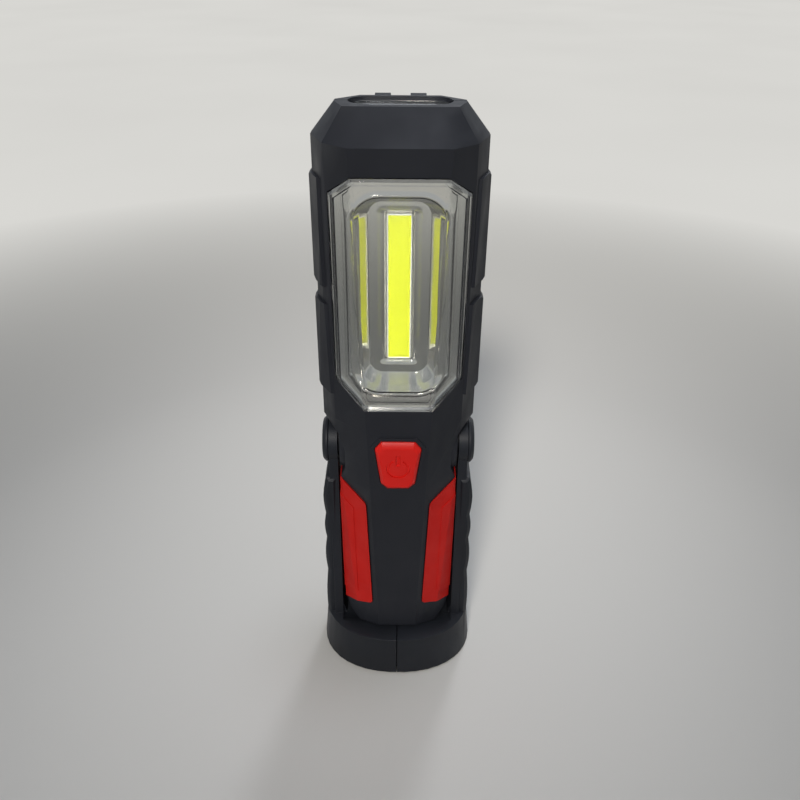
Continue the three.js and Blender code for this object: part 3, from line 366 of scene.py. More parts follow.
@dataclass
class Skin:
    """A grid of points, rows by columns by 3, in millimetres.

    wrap joins its last column to its first, and a closed end gets a flat face. kept holds a truth
    value for each cell, where some are left out.
    """

    points: np.ndarray
    wrap: bool = True
    close_first: bool = False
    close_last: bool = False
    kept: Optional[np.ndarray] = None

    def faces(self, start: int) -> list[tuple[int, ...]]:
        """The grid's faces, numbered from start: each cell joins two columns of two rows."""
        rows, columns = self.points.shape[:2]
        here = np.arange(rows * columns).reshape(rows, columns) + start
        beside = np.roll(here, -1, axis=1)
        if not self.wrap:
            here, beside = here[:, :-1], beside[:, :-1]
        cells = np.stack([here[:-1], beside[:-1], beside[1:], here[1:]], -1)
        cells = cells.reshape(-1, 4) if self.kept is None else cells[self.kept]
        faces = [tuple(cell) for cell in cells.tolist()]
        if self.close_first:
            faces.append(tuple(range(start + columns - 1, start - 1, -1)))
        if self.close_last:
            faces.append(tuple(range(start + (rows - 1) * columns, start + rows * columns)))
        return faces


def linked(mesh: bpy.types.Mesh, crease: float) -> bpy.types.Object:
    """Shades a mesh smooth between edges that turn by more than crease, in degrees, and makes it an
    object of the same name in the scene."""
    mesh.shade_smooth()
    mesh.set_sharp_from_angle(angle=math.radians(crease))
    piece = bpy.data.objects.new(mesh.name, mesh)
    bpy.context.scene.collection.objects.link(piece)
    return piece


def mesh_of(name: str, points: np.ndarray, faces: Sequence[Sequence[int]], closed: bool = True,
            crease: float = 35.0, weld: float = 0.002) -> bpy.types.Object:
    """Makes an object from points and faces, with doubles merged and smooth shading.

    Args:
        name: The piece's name.
        points: Corners in millimetres, one a row.
        faces: Corner numbers of each face.
        closed: Whether the faces bound a solid, so that they can be turned outwards.
        crease: Edges that turn by more than this, in degrees, stay sharp.
        weld: Corners closer than this, in millimetres, become one.

    Returns:
        The object, linked to the scene.
    """
    mesh = bpy.data.meshes.new(name)
    mesh.from_pydata((points * MM).tolist(), [], faces)
    edit = bmesh.new()
    edit.from_mesh(mesh)
    bmesh.ops.remove_doubles(edit, verts=edit.verts, dist=weld * MM)
    if closed:
        bmesh.ops.recalc_face_normals(edit, faces=edit.faces)
    edit.to_mesh(mesh)
    edit.free()
    return linked(mesh, crease)


def skinned(name: str, skins: Sequence[Skin], **how: Any) -> bpy.types.Object:
    """Makes one object from several grids; how goes to mesh_of."""
    faces: list[tuple[int, ...]] = []
    start = 0
    for skin in skins:
        faces += skin.faces(start)
        start += skin.points.shape[0] * skin.points.shape[1]
    points = np.concatenate([skin.points.reshape(-1, 3) for skin in skins])
    return mesh_of(name, points, faces, **how)


def ease_edges(piece: bpy.types.Object, width: float, angle: float) -> None:
    """Eases edges that turn by more than an angle in degrees, to a width in millimetres."""
    bevel = piece.modifiers.new("eased_edges", "BEVEL")
    bevel.width = width * MM
    bevel.segments = 2
    bevel.limit_method = "ANGLE"
    bevel.angle_limit = math.radians(angle)
    bevel.harden_normals = True


def dress(piece: bpy.types.Object, finish: Any, slot: str, body: Body, *nodes: str) -> None:
    """Gives a new piece its finish and body, and hides the CAD nodes that it stands for."""
    piece.data.materials.clear()
    piece.data.materials.append(material_of(finish))
    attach(piece, body.value)
    if nodes:
        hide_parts(*nodes)
    log.info("%s rides on %s in %s", piece.name, body.value, finish.name)


def replace_eased(name: str, node: str, ease: float, finish: Any, slot: str, body: Body) -> None:
    """Puts a merged copy with eased edges in the place of a CAD node, and dresses it.

    Args:
        name: The piece's name.
        node: The CAD node.
        ease: Width of the eased edge in millimetres.
        finish: The piece's finish.
        slot: Its material slot; not used.
        body: The body that it rides on.
    """
    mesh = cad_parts[node].data.copy()
    mesh.name = name
    mesh.materials.clear()
    edit = bmesh.new()
    edit.from_mesh(mesh)
    bmesh.ops.remove_doubles(edit, verts=edit.verts, dist=EASE_WELD * MM)
    bmesh.ops.dissolve_degenerate(edit, dist=EASE_WELD * MM, edges=edit.edges)
    bmesh.ops.dissolve_limit(edit, angle_limit=math.radians(FLAT_ANGLE), verts=edit.verts,
                             edges=edit.edges, delimit={"NORMAL"})
    edit.to_mesh(mesh)
    edit.free()
    piece = linked(mesh, EASE_ANGLE)
    ease_edges(piece, ease, EASE_ANGLE)
    dress(piece, finish, slot, body, node)


MADE: dict[str, bpy.types.Material] = {}


def material_of(finish: Any) -> bpy.types.Material:
    """The material of a finish, built once."""
    if finish.name not in MADE:
        MADE[finish.name] = finish.material()
    return MADE[finish.name]


def refinish(finish: Any, *nodes: str) -> None:
    """Gives CAD nodes that stay a finish, through their material slots."""
    for node in nodes:
        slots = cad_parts[node].material_slots
        for each in slots:
            each.link = "OBJECT"
            each.material = material_of(finish)
        log.info("%s stays, in %s", node, finish.name)


def grown(outline: np.ndarray, distance: float) -> np.ndarray:
    """Moves every edge of an anticlockwise outline outwards by a distance, with mitred corners."""
    before, after = np.roll(outline, 1, axis=0), np.roll(outline, -1, axis=0)
    first, second = outline - before, after - outline
    first = np.stack([first[:, 1], -first[:, 0]], -1)
    second = np.stack([second[:, 1], -second[:, 0]], -1)
    first /= np.linalg.norm(first, axis=1, keepdims=True)
    second /= np.linalg.norm(second, axis=1, keepdims=True)
    reach = distance / (1 + (first * second).sum(axis=1, keepdims=True))
    return outline + (first + second) * reach


def rectangle(half: float, low: float, high: float) -> np.ndarray:
    """An anticlockwise rectangle as wide as half to each side, and from low to high."""
    return np.array([(half, low), (half, high), (-half, high), (-half, low)])


def mirrored(right: Sequence[Sequence[float]]) -> np.ndarray:
    """An outline from its right half, from the bottom up, and the same half turned over."""
    half = np.array(right, float)
    return np.concatenate([half, (half * (-1, 1))[::-1]])


def rounded(outline: np.ndarray, radius: float, arc_steps: int = 6, side_steps: int = 8) -> np.ndarray:
    """Rounds every corner of an outline, with the same number of points whatever its size.

    A corner's arc touches both edges at radius / tan(half the corner's angle) from it; each side
    between two arcs is cut into equal steps.
    """
    before = np.roll(outline, 1, axis=0) - outline
    after = np.roll(outline, -1, axis=0) - outline
    before /= np.linalg.norm(before, axis=1, keepdims=True)
    after /= np.linalg.norm(after, axis=1, keepdims=True)
    half = np.arccos((before * after).sum(1)) / 2
    middle = before + after
    middle /= np.linalg.norm(middle, axis=1, keepdims=True)
    centre = outline + middle * (radius / np.sin(half))[:, None]
    start = outline + before * (radius / np.tan(half))[:, None] - centre
    share = np.linspace(0, 1, arc_steps + 1)
    turn = (math.pi - 2 * half)[:, None] * share
    cos, sin = np.cos(turn), np.sin(turn)
    arcs = np.stack([start[:, :1] * cos - start[:, 1:] * sin, start[:, :1] * sin + start[:, 1:] * cos], -1)
    arcs += centre[:, None]
    steps = np.linspace(0, 1, side_steps + 1)[1:-1, None]
    sides = arcs[:, None, -1] + (np.roll(arcs, -1, axis=0)[:, None, 0] - arcs[:, None, -1]) * steps
    return np.concatenate([arcs, sides], axis=1).reshape(-1, 2)


@dataclass
class HeadForm:
    """Front facets of the lamp body, as the frame has them: by height, a flat front and sides that
    fall back from its two creases."""

    heights: tuple[float, ...] = (16.3, 111.6, 205.8)
    fronts: tuple[float, ...] = (17.3, 18.2, 18.5)
    creases: tuple[float, ...] = (7.0, 10.7, 14.9)
    slope: float = 0.85

    def front(self, x: np.ndarray, z: np.ndarray, proud: float | np.ndarray) -> np.ndarray:
        """Y of the skin raised by proud: the rearmost of the front plane and the side planes."""
        depth = np.interp(z, self.heights, self.fronts)
        crease = np.interp(z, self.heights, self.creases)
        lean = math.hypot(1, self.slope)
        flat = -depth - proud
        side = -depth + self.slope * (np.abs(x) - crease) - proud * lean
        return np.maximum(flat, side)

    def laid(self, outline: np.ndarray, proud: float | np.ndarray) -> np.ndarray:
        """Lays [x, z] points on the skin raised by proud, as [x, y, z]."""
        x, z = outline[..., 0], outline[..., 1]
        return np.stack([x, self.front(x, z, proud), z], -1)


FORM = HeadForm()


@dataclass
class Window:
    """The window lamp: clear cover, metallised reflector trough, gel strip and its white frame."""

    top: float = 197.5
    bottom: float = 120.6
    half: float = 21.0
    top_half: float = 14.2
    bottom_half: float = 11.2
    top_chamfer: float = 5.7
    bottom_chamfer: float = 8.0
    cover_back: float = 2.0
    cover_edge: float = 0.2
    cover_rim: float = 0.9
    cover_face: float = 0.55
    cover_bevel: float = 1.6
    cover_chamfer: float = 0.7
    cover_step: float = 0.35
    cover_ease: float = 0.12
    cover_ease_angle: float = 12.0
    flange: float = 2.3
    flange_wall: float = 1.0
    lap: float = 1.2
    crease_share: float = 0.37
    bead: tuple[tuple[float, float], ...] = ((0.25, 0.12), (0.6, 0.18), (1.0, 0.12), (1.3, 0.0))
    mouth: tuple[float, float, float, float] = (13.9, 127.0, 191.6, 8.0)
    floor: tuple[float, float, float, float] = (7.25, 134.3, 187.8, 2.5)
    floor_depth: float = 10.5
    wall_start: float = 9.4
    wall_end: float = 12.1
    wall_slope: float = 1.05
    wall_bend: float = 0.1
    strip: tuple[float, float, float] = (3.75, 137.2, 185.2)
    strip_front: float = 10.75
    strip_back: float = 9.3
    slot_gap: float = 0.3
    slot_corner: float = 0.15
    border: float = 0.32
    die_pitch: float = 1.75
    dimple: float = 0.3
    dimple_deep: float = 0.05
    crown: float = 0.3
    dam_corner: float = 0.45
    dam_drop: float = 0.12
    dam_ease: float = 0.08
    dam_in: float = 0.03
    dam_lip: float = 0.04

    def outline(self) -> np.ndarray:
        """The window's octagon in the front view."""
        return mirrored([
            (self.bottom_half, self.bottom),
            (self.half, self.bottom + self.bottom_chamfer),
            (self.half, self.top - self.top_chamfer),
            (self.top_half, self.top),
        ])

    def build(self) -> None:
        """Builds and dresses the window's pieces."""
        self.cover()
        self.reflector()
        self.gel()
        self.frame_round_gel()

    def cover(self) -> None:
        """The cover: rings of the octagon from its back edge over its bevelled rim and down a small
        step to its face, and three flat panes at the back and the front, one for each facet."""
        steps = [(0.0, -self.cover_back), (0.0, self.cover_edge), (-self.cover_chamfer, self.cover_rim),
                 (-self.cover_bevel, self.cover_rim),
                 (-self.cover_bevel - self.cover_step, self.cover_face)]
        rings = [FORM.laid(grown(self.outline(), growth), proud) for growth, proud in steps]
        points = np.stack(rings)
        faces = Skin(points).faces(0)
        last = (len(rings) - 1) * 8
        panes = [(0, 3, 4, 7), (0, 1, 2, 3), (4, 5, 6, 7)]
        faces += [tuple(last + corner for corner in pane) for pane in panes]
        faces += [tuple(reversed(pane)) for pane in panes]
        piece = mesh_of("clear_window", points.reshape(-1, 3), faces, crease=20)
        ease_edges(piece, self.cover_ease, self.cover_ease_angle)
        dress(piece, CLEAR, "clear_cover", Body.LAMP, "window_cover")

    def ring(self, share: float, growth: float = 0.0) -> np.ndarray:
        """A rounded rectangle between the trough's floor, at share 0, and its mouth, at share 1."""
        half, low, high, corner = (a + (b - a) * share for a, b in zip(self.floor, self.mouth))
        return rounded(grown(rectangle(half, low, high), growth), corner + growth, 16, 22)

    def reflector(self) -> None:
        """The reflector, as rings from the strip's slot over the floor, up the walls and over a
        rounded rim to the flange under the cover.

        The flange is ruled from the rim to the octagon in four flat patches.
        """
        slot = rounded(grown(rectangle(*self.strip), self.slot_gap), self.slot_corner, 16, 22)
        mouth = self.ring(1.0)
        rim = -FORM.front(mouth[:, 0], mouth[:, 1], -self.flange)
        rows = [self.flat_row(slot, self.floor_depth)]
        for share in np.concatenate([[0.0], np.linspace(0.04, 1.0, 32)]):
            row = self.ring(share)
            depth = self.floor_depth + self.wall_height(share, rim - self.floor_depth)
            rows.append(np.stack([row[:, 0], -depth, row[:, 1]], -1))
        for growth, proud in self.bead:
            rows.append(FORM.laid(self.ring(1.0, growth), proud - self.flange))
        edge = self.ring(1.0, self.bead[-1][0])
        outer = self.flange_edge(edge)
        for share in (0.25, 0.5, 0.75, 1.0):
            rows.append(FORM.laid(edge + (outer - edge) * share, -self.flange))
        piece = skinned("window_mirror", [Skin(np.stack(rows[::-1]))], closed=False, crease=40)
        solid = piece.modifiers.new("wall", "SOLIDIFY")
        solid.thickness = self.flange_wall * MM
        solid.offset = -1
        dress(piece, CHROMED, "reflector", Body.LAMP, "window_reflector")

    def wall_height(self, share: float, full: np.ndarray) -> np.ndarray:
        """Height of the wall's ring at a share of the way out, where the rim stands at full.

        Flat up to wall_start; up to wall_end the slope grows with height h as wall_slope (1 + bend h),
        which throws the strip's image forward from all of it; then even up to the rim.
        """
        out = self.floor[0] + (self.mouth[0] - self.floor[0]) * share
        run = min(max(out - self.wall_start, 0.0), self.wall_end - self.wall_start)
        height = math.expm1(self.wall_slope * self.wall_bend * run) / self.wall_bend
        past = max(out - self.wall_end, 0.0) / (self.mouth[0] - self.wall_end)
        return height + (full - height) * past

    @staticmethod
    def flat_row(outline: np.ndarray, depth: float) -> np.ndarray:
        """An outline on a plane at one depth in front of the middle plane."""
        return np.stack([outline[:, 0], np.full(len(outline), -depth), outline[:, 1]], -1)

    def flange_edge(self, edge: np.ndarray) -> np.ndarray:
        """Points of the flange's octagon, one for each point of the rim's outer edge.

        The rim is parted where it crosses the two creases, and each part runs evenly along its own
        stretch of the octagon, so that no ruled line crosses a crease.
        """
        octagon = grown(self.outline(), self.lap)
        crease = np.interp(edge[:, 1], FORM.heights, FORM.creases) - self.crease_share * self.flange
        side = np.where(np.abs(edge[:, 0]) > crease, np.sign(edge[:, 0]), 0)
        above = edge[:, 1] > (self.top + self.bottom) / 2
        paths = {
            1: octagon[[0, 1, 2, 3]],
            -1: octagon[[4, 5, 6, 7]],
            "top": octagon[[3, 4]],
            "bottom": octagon[[7, 0]],
        }
        part = [int(s) if s else ("top" if up else "bottom") for s, up in zip(side, above)]
        outer = np.empty_like(edge)
        for name, path in paths.items():
            chosen = np.array([p == name for p in part])
            first = int(np.flatnonzero(chosen & ~np.roll(chosen, 1))[0])
            order = (first + np.arange(chosen.sum())) % len(edge)
            length = np.concatenate([[0], np.cumsum(np.linalg.norm(np.diff(path, axis=0), axis=1))])
            along = np.linspace(0, length[-1], len(order) + 1)[:-1] + length[-1] / (2 * len(order))
            outer[order] = np.stack([np.interp(along, length, path[:, k]) for k in (0, 1)], -1)
        return outer

    def gel(self) -> None:
        """The gel bead: height over a rectangle falls to its edges as (1 - u^6)(1 - v^30), with a
        faint dimple over each die in a row down the middle."""
        half, low, high = self.strip
        half, low, high = half - self.border, low + self.border, high - self.border
        u = np.linspace(-1, 1, 29)
        v = np.linspace(-1, 1, 301)
        across, along = np.meshgrid(u, v)
        x = across * half
        z = (low + high) / 2 + along * (high - low) / 2
        crown = (1 - across ** 6) * (1 - along ** 30)
        phase = (z - low) / self.die_pitch
        beside = (phase - np.round(phase)) * self.die_pitch
        dimple = np.exp(-(x ** 2 + beside ** 2) / self.dimple ** 2)
        y = -(self.strip_front - self.crown + self.crown * crown - self.dimple_deep * dimple)
        top = np.stack([x, y, z], -1)
        under = top.copy()
        under[..., 1] = -self.strip_back
        skins = [Skin(top, wrap=False), Skin(under[::-1], wrap=False)]
        rim = [np.concatenate([g[0, :-1], g[:-1, -1], g[-1, :0:-1], g[:0:-1, 0]]) for g in (top, under)]
        skins.append(Skin(np.stack(rim)))
        piece = skinned("gel_strip", skins)
        dress(piece, PHOSPHOR, "phosphor", Body.LAMP, "light_strip")

    def frame_round_gel(self) -> None:
        """The white dam round the gel: a rounded bead carried round a rectangle."""
        rings = []
        inner = -self.border - self.dam_in
        low_edge = self.strip_front - self.dam_drop
        for growth, depth in ((0.0, self.strip_back), (0.0, low_edge), (-self.dam_ease, self.strip_front),
                              (-self.border + self.dam_lip, self.strip_front), (inner, low_edge),
                              (inner, self.strip_back)):
            outline = rounded(grown(rectangle(*self.strip), growth), self.dam_corner + growth, 4, 6)
            rings.append(self.flat_row(outline, depth))
        rings.append(rings[0])
        piece = skinned("gel_dam", [Skin(np.stack(rings))])
        dress(piece, WHITE_MASK, "white_board", Body.LAMP)


@dataclass
class Torch:
    """The torch in the top: clear lens, reflector block with parabolic cups, and domed lamps."""

    top: float = 213.9
    thick: float = 1.9
    half_length: float = 15.0
    half_width: float = 5.7
    block_top: float = 211.9
    block_low: float = 204.8
    cup_top: float = 2.6
    cup_low: float = 1.55
    count: int = 5
    pitch: float = 5.75
    columns: int = 72
    lens_edge: tuple[tuple[float, float], ...] = ((0, 0.45), (-0.15, 0.12), (-0.5, 0))
    lamp_base: float = 203.5
    lamp_radius: float = 1.45
    lamp_height: float = 3.6
    lamp_flange: float = 0.35
    lamp_seat: float = 0.6
    lamp_columns: int = 32

    def places(self) -> np.ndarray:
        """X of each cup and lamp."""
        return (np.arange(self.count) - (self.count - 1) / 2) * self.pitch

    def outline(self, growth: float = 0.0) -> np.ndarray:
        """A slot with round ends."""
        radius = self.half_width + growth
        centre = self.half_length - self.half_width
        right = np.linspace(-math.pi / 2, math.pi / 2, 33)
        half = np.stack([centre + radius * np.cos(right), radius * np.sin(right)], -1)
        return np.concatenate([half, -half])

    def build(self) -> None:
        """Builds and dresses the torch's pieces."""
        rows = []
        for growth, drop in ((0, self.thick), *self.lens_edge):
            ring = self.outline(growth)
            rows.append(np.column_stack([ring, np.full(len(ring), self.top - drop)]))
        piece = skinned("torch_window", [Skin(np.stack(rows), close_first=True, close_last=True)], crease=50)
        dress(piece, CLEAR, "clear_cover", Body.LAMP, "torch_lens")
        self.reflector()
        for number, x in enumerate(self.places(), 1):
            self.lamp(number, x)

    def boundary(self, middle: float, angle: np.ndarray, last: int) -> tuple[np.ndarray, np.ndarray]:
        """Distance from a cup's middle to its cell's edge along each angle, and whether that edge is
        on the block's outside.

        A cell is bounded by the block's straight sides and by the planes halfway to the next cups;
        last is -1 or 1 where it is bounded by the block's round end on that side, or else 0.
        """
        cos, sin = np.cos(angle), np.sin(angle)
        straight = self.half_width / np.maximum(np.abs(sin), 1e-6)
        plane = self.pitch / 2 / np.maximum(np.abs(cos), 1e-6)
        reach = np.minimum(straight, plane)
        outside = straight <= plane + 1e-6
        if last:
            centre = last * (self.half_length - self.half_width) - middle
            along = centre * cos
            root = np.sqrt(np.maximum(along ** 2 - centre ** 2 + self.half_width ** 2, 0))
            towards_end = last * cos > 0
            in_straight = straight * np.abs(cos) <= abs(centre)
            end = np.where(in_straight, straight, along + root)
            reach = np.where(towards_end, end, reach)
            outside |= towards_end
        return reach, outside

    def reflector(self) -> None:
        """The block, one closed cell round each cup: from the hole up a parabola to the rim, out to
        the cell's edge, down the outside and back to the hole; cells meet on the planes between
        cups, where they have no wall."""
        corner = math.atan2(self.half_width, self.pitch / 2)
        turns = np.arange(self.columns) * (2 * math.pi / self.columns)
        angle = np.unique(np.concatenate([turns, [corner, math.pi - corner, math.pi + corner,
                                                  2 * math.pi - corner]]))
        skins = []
        for number, x in enumerate(self.places()):
            last = -1 if number == 0 else int(number == self.count - 1)
            edge, outside = self.boundary(x, angle, last)
            radii = [np.full_like(edge, r) for r in np.linspace(self.cup_low, self.cup_top, 12)]
            heights = [self.cup_height(r[0]) for r in radii]
            radii = [radii[0], *radii, np.minimum(self.cup_top + 0.1, edge), edge, edge, radii[0]]
            heights = [self.block_low, *heights, self.block_top, self.block_top, self.block_low,
                       self.block_low]
            rows = [np.stack([x + r * np.cos(angle), r * np.sin(angle), np.full_like(r, z)], -1)
                    for r, z in zip(radii, heights)]
            kept = np.ones((len(rows) - 1, len(angle)), bool)
            kept[-2] = outside & np.roll(outside, -1)
            skins.append(Skin(np.stack(rows), kept=kept))
        piece = skinned("torch_mirror", skins, crease=40, weld=0.01)
        dress(piece, CHROMED, "reflector", Body.LAMP, "torch_reflector")

    def cup_height(self, radius: float) -> float:
        """Height of a cup's wall at a radius: a parabola from its hole up to its rim."""
        share = (radius ** 2 - self.cup_low ** 2) / (self.cup_top ** 2 - self.cup_low ** 2)
        return self.block_low + 0.5 + (self.block_top - self.block_low - 0.5) * share

    def lamp(self, number: int, x: float) -> None:
        """One lamp: a flange, barrel and round dome, turned about its own axis."""
        radius, base, rim = self.lamp_radius, self.lamp_base, self.lamp_radius + self.lamp_flange
        seat = base + self.lamp_seat
        angle = np.linspace(0, math.pi / 2, 9)
        dome_r = radius * np.cos(angle)
        dome_z = base + self.lamp_height - radius + radius * np.sin(angle)
        r = np.concatenate([[0, rim, rim, radius], dome_r])
        z = np.concatenate([[base, base, seat, seat], dome_z])
        turn = np.arange(self.lamp_columns) * (2 * math.pi / self.lamp_columns)
        rows = np.stack([x + np.outer(r, np.cos(turn)), np.outer(r, np.sin(turn)),
                         np.repeat(z[:, None], self.lamp_columns, axis=1)], -1)
        piece = skinned(f"torch_lamp_{number}", [Skin(rows)])
        dress(piece, CLEAR, "clear_cover", Body.LAMP, f"torch_led_{number}")


@dataclass
class PowerButton:
    """The red button: a bevelled cap with a sunk power symbol."""

    bottom: float = 89.0
    top: float = 108.5
    top_half: float = 5.7
    shoulder_half: float = 7.95
    waist_half: float = 5.95
    bottom_half: float = 3.65
    shoulder_drop: float = 2.8
    waist_lift: float = 2.2
    proud: float = 1.6
    edge_proud: float = 0.8
    back: float = -3.0
    bevel: float = 1.15
    brow: float = 1.1
    corner: float = 1.0
    edge_round: float = 0.25
    edge_ease: float = 0.12
    face_ease: float = 0.1
    disc: float = 5.6
    disc_step: float = 0.055
    symbol_rise: float = 98.2
    ring_outer: float = 4.0
    ring_inner: float = 3.15
    gap: float = 31.0
    bar_half: float = 0.66
    bar_low: float = 1.0
    bar_high: float = 5.3
    sunk: float = 0.55
    soft: float = 0.12

    def ring(self, growth: float) -> np.ndarray:
        """The cap's rounded outline, moved outwards by growth; its upper half moves down as well, by
        the same share of the brow as growth is of the bevel."""
        outline = grown(mirrored([
            (self.bottom_half, self.bottom),
            (self.waist_half, self.bottom + self.waist_lift),
            (self.shoulder_half, self.top - self.shoulder_drop),
            (self.top_half, self.top),
        ]), growth)
        upper = outline[:, 1] > (self.bottom + self.top) / 2
        outline[upper, 1] += self.brow * growth / self.bevel
        return rounded(outline, self.corner + growth * 0.3, 12, 24)

    def symbol(self, x: np.ndarray, z: np.ndarray) -> np.ndarray:
        """How sunk the face is, from 0 to 1: a ring open at its top, and a bar through the gap.

        Each edge is a smooth step as wide as soft.
        """
        up = z - self.symbol_rise
        radius = np.hypot(x, up)
        angle = np.degrees(np.abs(np.arctan2(x, up)))

        def inside(distance: np.ndarray) -> np.ndarray:
            """1 well inside, 0 well outside, with a smooth step between."""
            t = np.clip(0.5 + distance / self.soft, 0, 1)
            return t * t * (3 - 2 * t)

        band = np.minimum(self.ring_outer - radius, radius - self.ring_inner)
        opening = np.radians(angle - self.gap) * radius
        bar = np.minimum(self.bar_half - np.abs(x), np.minimum(up - self.bar_low, self.bar_high - up))
        return np.maximum(inside(np.minimum(band, opening)), inside(bar))

    def build(self) -> None:
        """Builds the cap: rings of the outline over the bevel, then rings that turn from the
        outline into circles round the symbol's middle, sunk where the symbol is."""
        steps = [(0.0, self.back), (0.0, self.edge_proud - self.edge_round),
                 (-self.edge_ease, self.edge_proud),
                 (-self.bevel + self.edge_ease, self.proud - self.face_ease),
                 (-self.bevel - self.face_ease, self.proud)]
        rows = [FORM.laid(self.ring(growth), proud) for growth, proud in steps]
        edge = self.ring(-self.bevel - self.face_ease)
        middle = np.array([0.0, self.symbol_rise])
        angle = np.arctan2(edge[:, 1] - middle[1], edge[:, 0])
        spokes = np.stack([np.cos(angle), np.sin(angle)], -1)
        circle = middle + spokes * self.disc
        rows += [self.face(edge + (circle - edge) * share) for share in np.linspace(0.04, 1, 16)]
        radii = np.arange(self.disc - 0.05, 0.04, -self.disc_step)
        rows += [self.face(middle + spokes * radius) for radius in radii]
        points = np.stack(rows)
        piece = skinned("power_cap", [Skin(points, close_first=True, close_last=True)], crease=30)
        dress(piece, BUTTON_RED, "button_red", Body.BUTTON, "power_button")

    def face(self, outline: np.ndarray) -> np.ndarray:
        """Lays points on the cap's face, sunk by the symbol."""
        depth = self.symbol(outline[:, 0], outline[:, 1]) * self.sunk
        return FORM.laid(outline, self.proud - depth)


@dataclass
class ScrewHead:
    """A cross-recess screw with its axis along Y or Z."""

    head: float = 2.2
    shank: float = 1.1
    slot_half: float = 0.32
    slot_long: float = 1.25
    slot_deep: float = 0.9
    slot_soft: float = 0.12
    slot_fade: float = 0.3
    crown: float = 0.12
    chamfer: float = 0.5
    edge_in: float = 0.12
    edge_drop: float = 0.2
    point: float = 1.0

    def profile(self, seat: float, face: float, tip: float) -> np.ndarray:
        """Radius and height along the axis, from the middle of the head's face to the tip."""
        return np.array([
            (self.head - self.chamfer, face), (self.head - self.edge_in, face - self.edge_drop),
            (self.head, face - self.chamfer), (self.head, seat), (self.shank, seat),
            (self.shank, tip + self.point), (0, tip),
        ])

    def rows(self, seat: float, face: float, tip: float, columns: int = 48) -> np.ndarray:
        """Rings of the screw about +Z: the head's face, sunk where the cross is, then the profile."""
        angle = np.arange(columns) * (2 * math.pi / columns)
        radii = np.linspace(0, self.head - self.chamfer, 18)[:-1]
        x, y = np.outer(radii, np.cos(angle)), np.outer(radii, np.sin(angle))
        near, far = np.minimum(np.abs(x), np.abs(y)), np.maximum(np.abs(x), np.abs(y))
        across = np.clip((self.slot_half - near) / self.slot_soft, 0, 1)
        along = np.clip((self.slot_long - far) / self.slot_fade, 0, 1)
        domed = face + self.crown - self.crown * (radii[:, None] / self.head) ** 2
        top = np.stack([x, y, domed - self.slot_deep * across * along], -1)
        profile = self.profile(seat, face, tip)
        side = np.stack([np.outer(profile[:, 0], np.cos(angle)), np.outer(profile[:, 0], np.sin(angle)),
                         np.repeat(profile[:, 1:], columns, axis=1)], -1)
        return np.concatenate([top, side])


@dataclass
class LampBody:
    """The lamp's shells, grips, battery door, screws and what shows between them."""

    ease: float = 0.32
    trim_ease: float = 0.3
    hook_ease: float = 0.5
    screws: int = 6
    screw_seat: float = 4.1
    screw_sink: float = 0.15

    def build(self) -> None:
        """Builds and dresses the body's pieces."""
        black, red = (SOFT_BLACK, "soft_black"), (GRIP_RED, "grip_red")
        replace_eased("front_shell", "front_housing", self.ease, *black, Body.LAMP)
        replace_eased("rear_shell", "rear_housing", self.ease, *black, Body.LAMP)
        replace_eased("bay_lid", "battery_door", self.trim_ease, *black, Body.DOOR)
        for side in ("left", "right"):
            replace_eased(f"soft_grip_{side}", f"grip_{side}", self.trim_ease, *red, Body.LAMP)
        replace_eased("hang_hook", "hook", self.hook_ease, *black, Body.HOOK)
        refinish(WHITE_MASK, "strip_board", "torch_board")
        refinish(GREEN_MASK, "circuit_board")
        refinish(NATURAL_NYLON, "tact_switch")
        refinish(STAND_BLACK, "pivot_washer_left", "pivot_washer_right")
        refinish(SHEET_ALLOY, "heat_plate")
        refinish(CELL_WRAP, "battery_cell_1", "battery_cell_2", "battery_cell_3")
        refinish(ZINC_STEEL, "battery_contact_low", "battery_contact_high", "hook_pin",
                 "pivot_pin_left", "pivot_pin_right", "pivot_clip_left", "pivot_clip_right")
        self.drive_screws()

    def drive_screws(self) -> None:
        """The housing screws, heads to the back."""
        for number in range(1, self.screws + 1):
            node = f"housing_screw_{number}"
            low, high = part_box(node)
            middle = (low + high) / 2 / MM
            rows = ScrewHead().rows(self.screw_seat, high.y / MM - self.screw_sink, low.y / MM)
            rows = rows[..., [0, 2, 1]] * (-1, 1, 1) + (middle.x, 0, middle.z)
            piece = skinned(f"body_screw_{number}", [Skin(rows)])
            dress(piece, ZINC_STEEL, "steel", Body.LAMP, node)


@dataclass
class Stand:
    """The swivel stand: two halves, pivot caps, foot cover with its magnet and screws."""

    ease: float = 0.6
    cap_ease: float = 0.3
    cover_ease: float = 0.25
    screws: int = 4
    screw_seat: float = -1.2
    screw_sink: float = 0.15

    def build(self) -> None:
        """Builds and dresses the stand's pieces."""
        for side in ("left", "right"):
            self.replace(f"stand_arm_{side}", f"stand_half_{side}", self.ease)
            self.replace(f"hub_cap_{side}", f"pivot_cap_{side}", self.cap_ease)
        self.replace("base_cover", "foot_cover", self.cover_ease)
        refinish(FERRITE, "foot_magnet")
        for number in range(1, self.screws + 1):
            node = f"foot_screw_{number}"
            low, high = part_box(node)
            middle = (low + high) / 2 / MM
            screw = ScrewHead(head=2.1, shank=1.05)
            rows = screw.rows(self.screw_seat, -low.z / MM - self.screw_sink, -high.z / MM)
            rows = rows * (-1, 1, -1) + (middle.x, middle.y, 0)
            piece = skinned(f"base_screw_{number}", [Skin(rows)])
            dress(piece, ZINC_STEEL, "steel", Body.STAND, node)

    @staticmethod
    def replace(name: str, node: str, ease: float) -> None:
        """Puts an eased piece of the stand's plastic in the place of a CAD node."""
        replace_eased(name, node, ease, STAND_BLACK, "stand_black", Body.STAND)


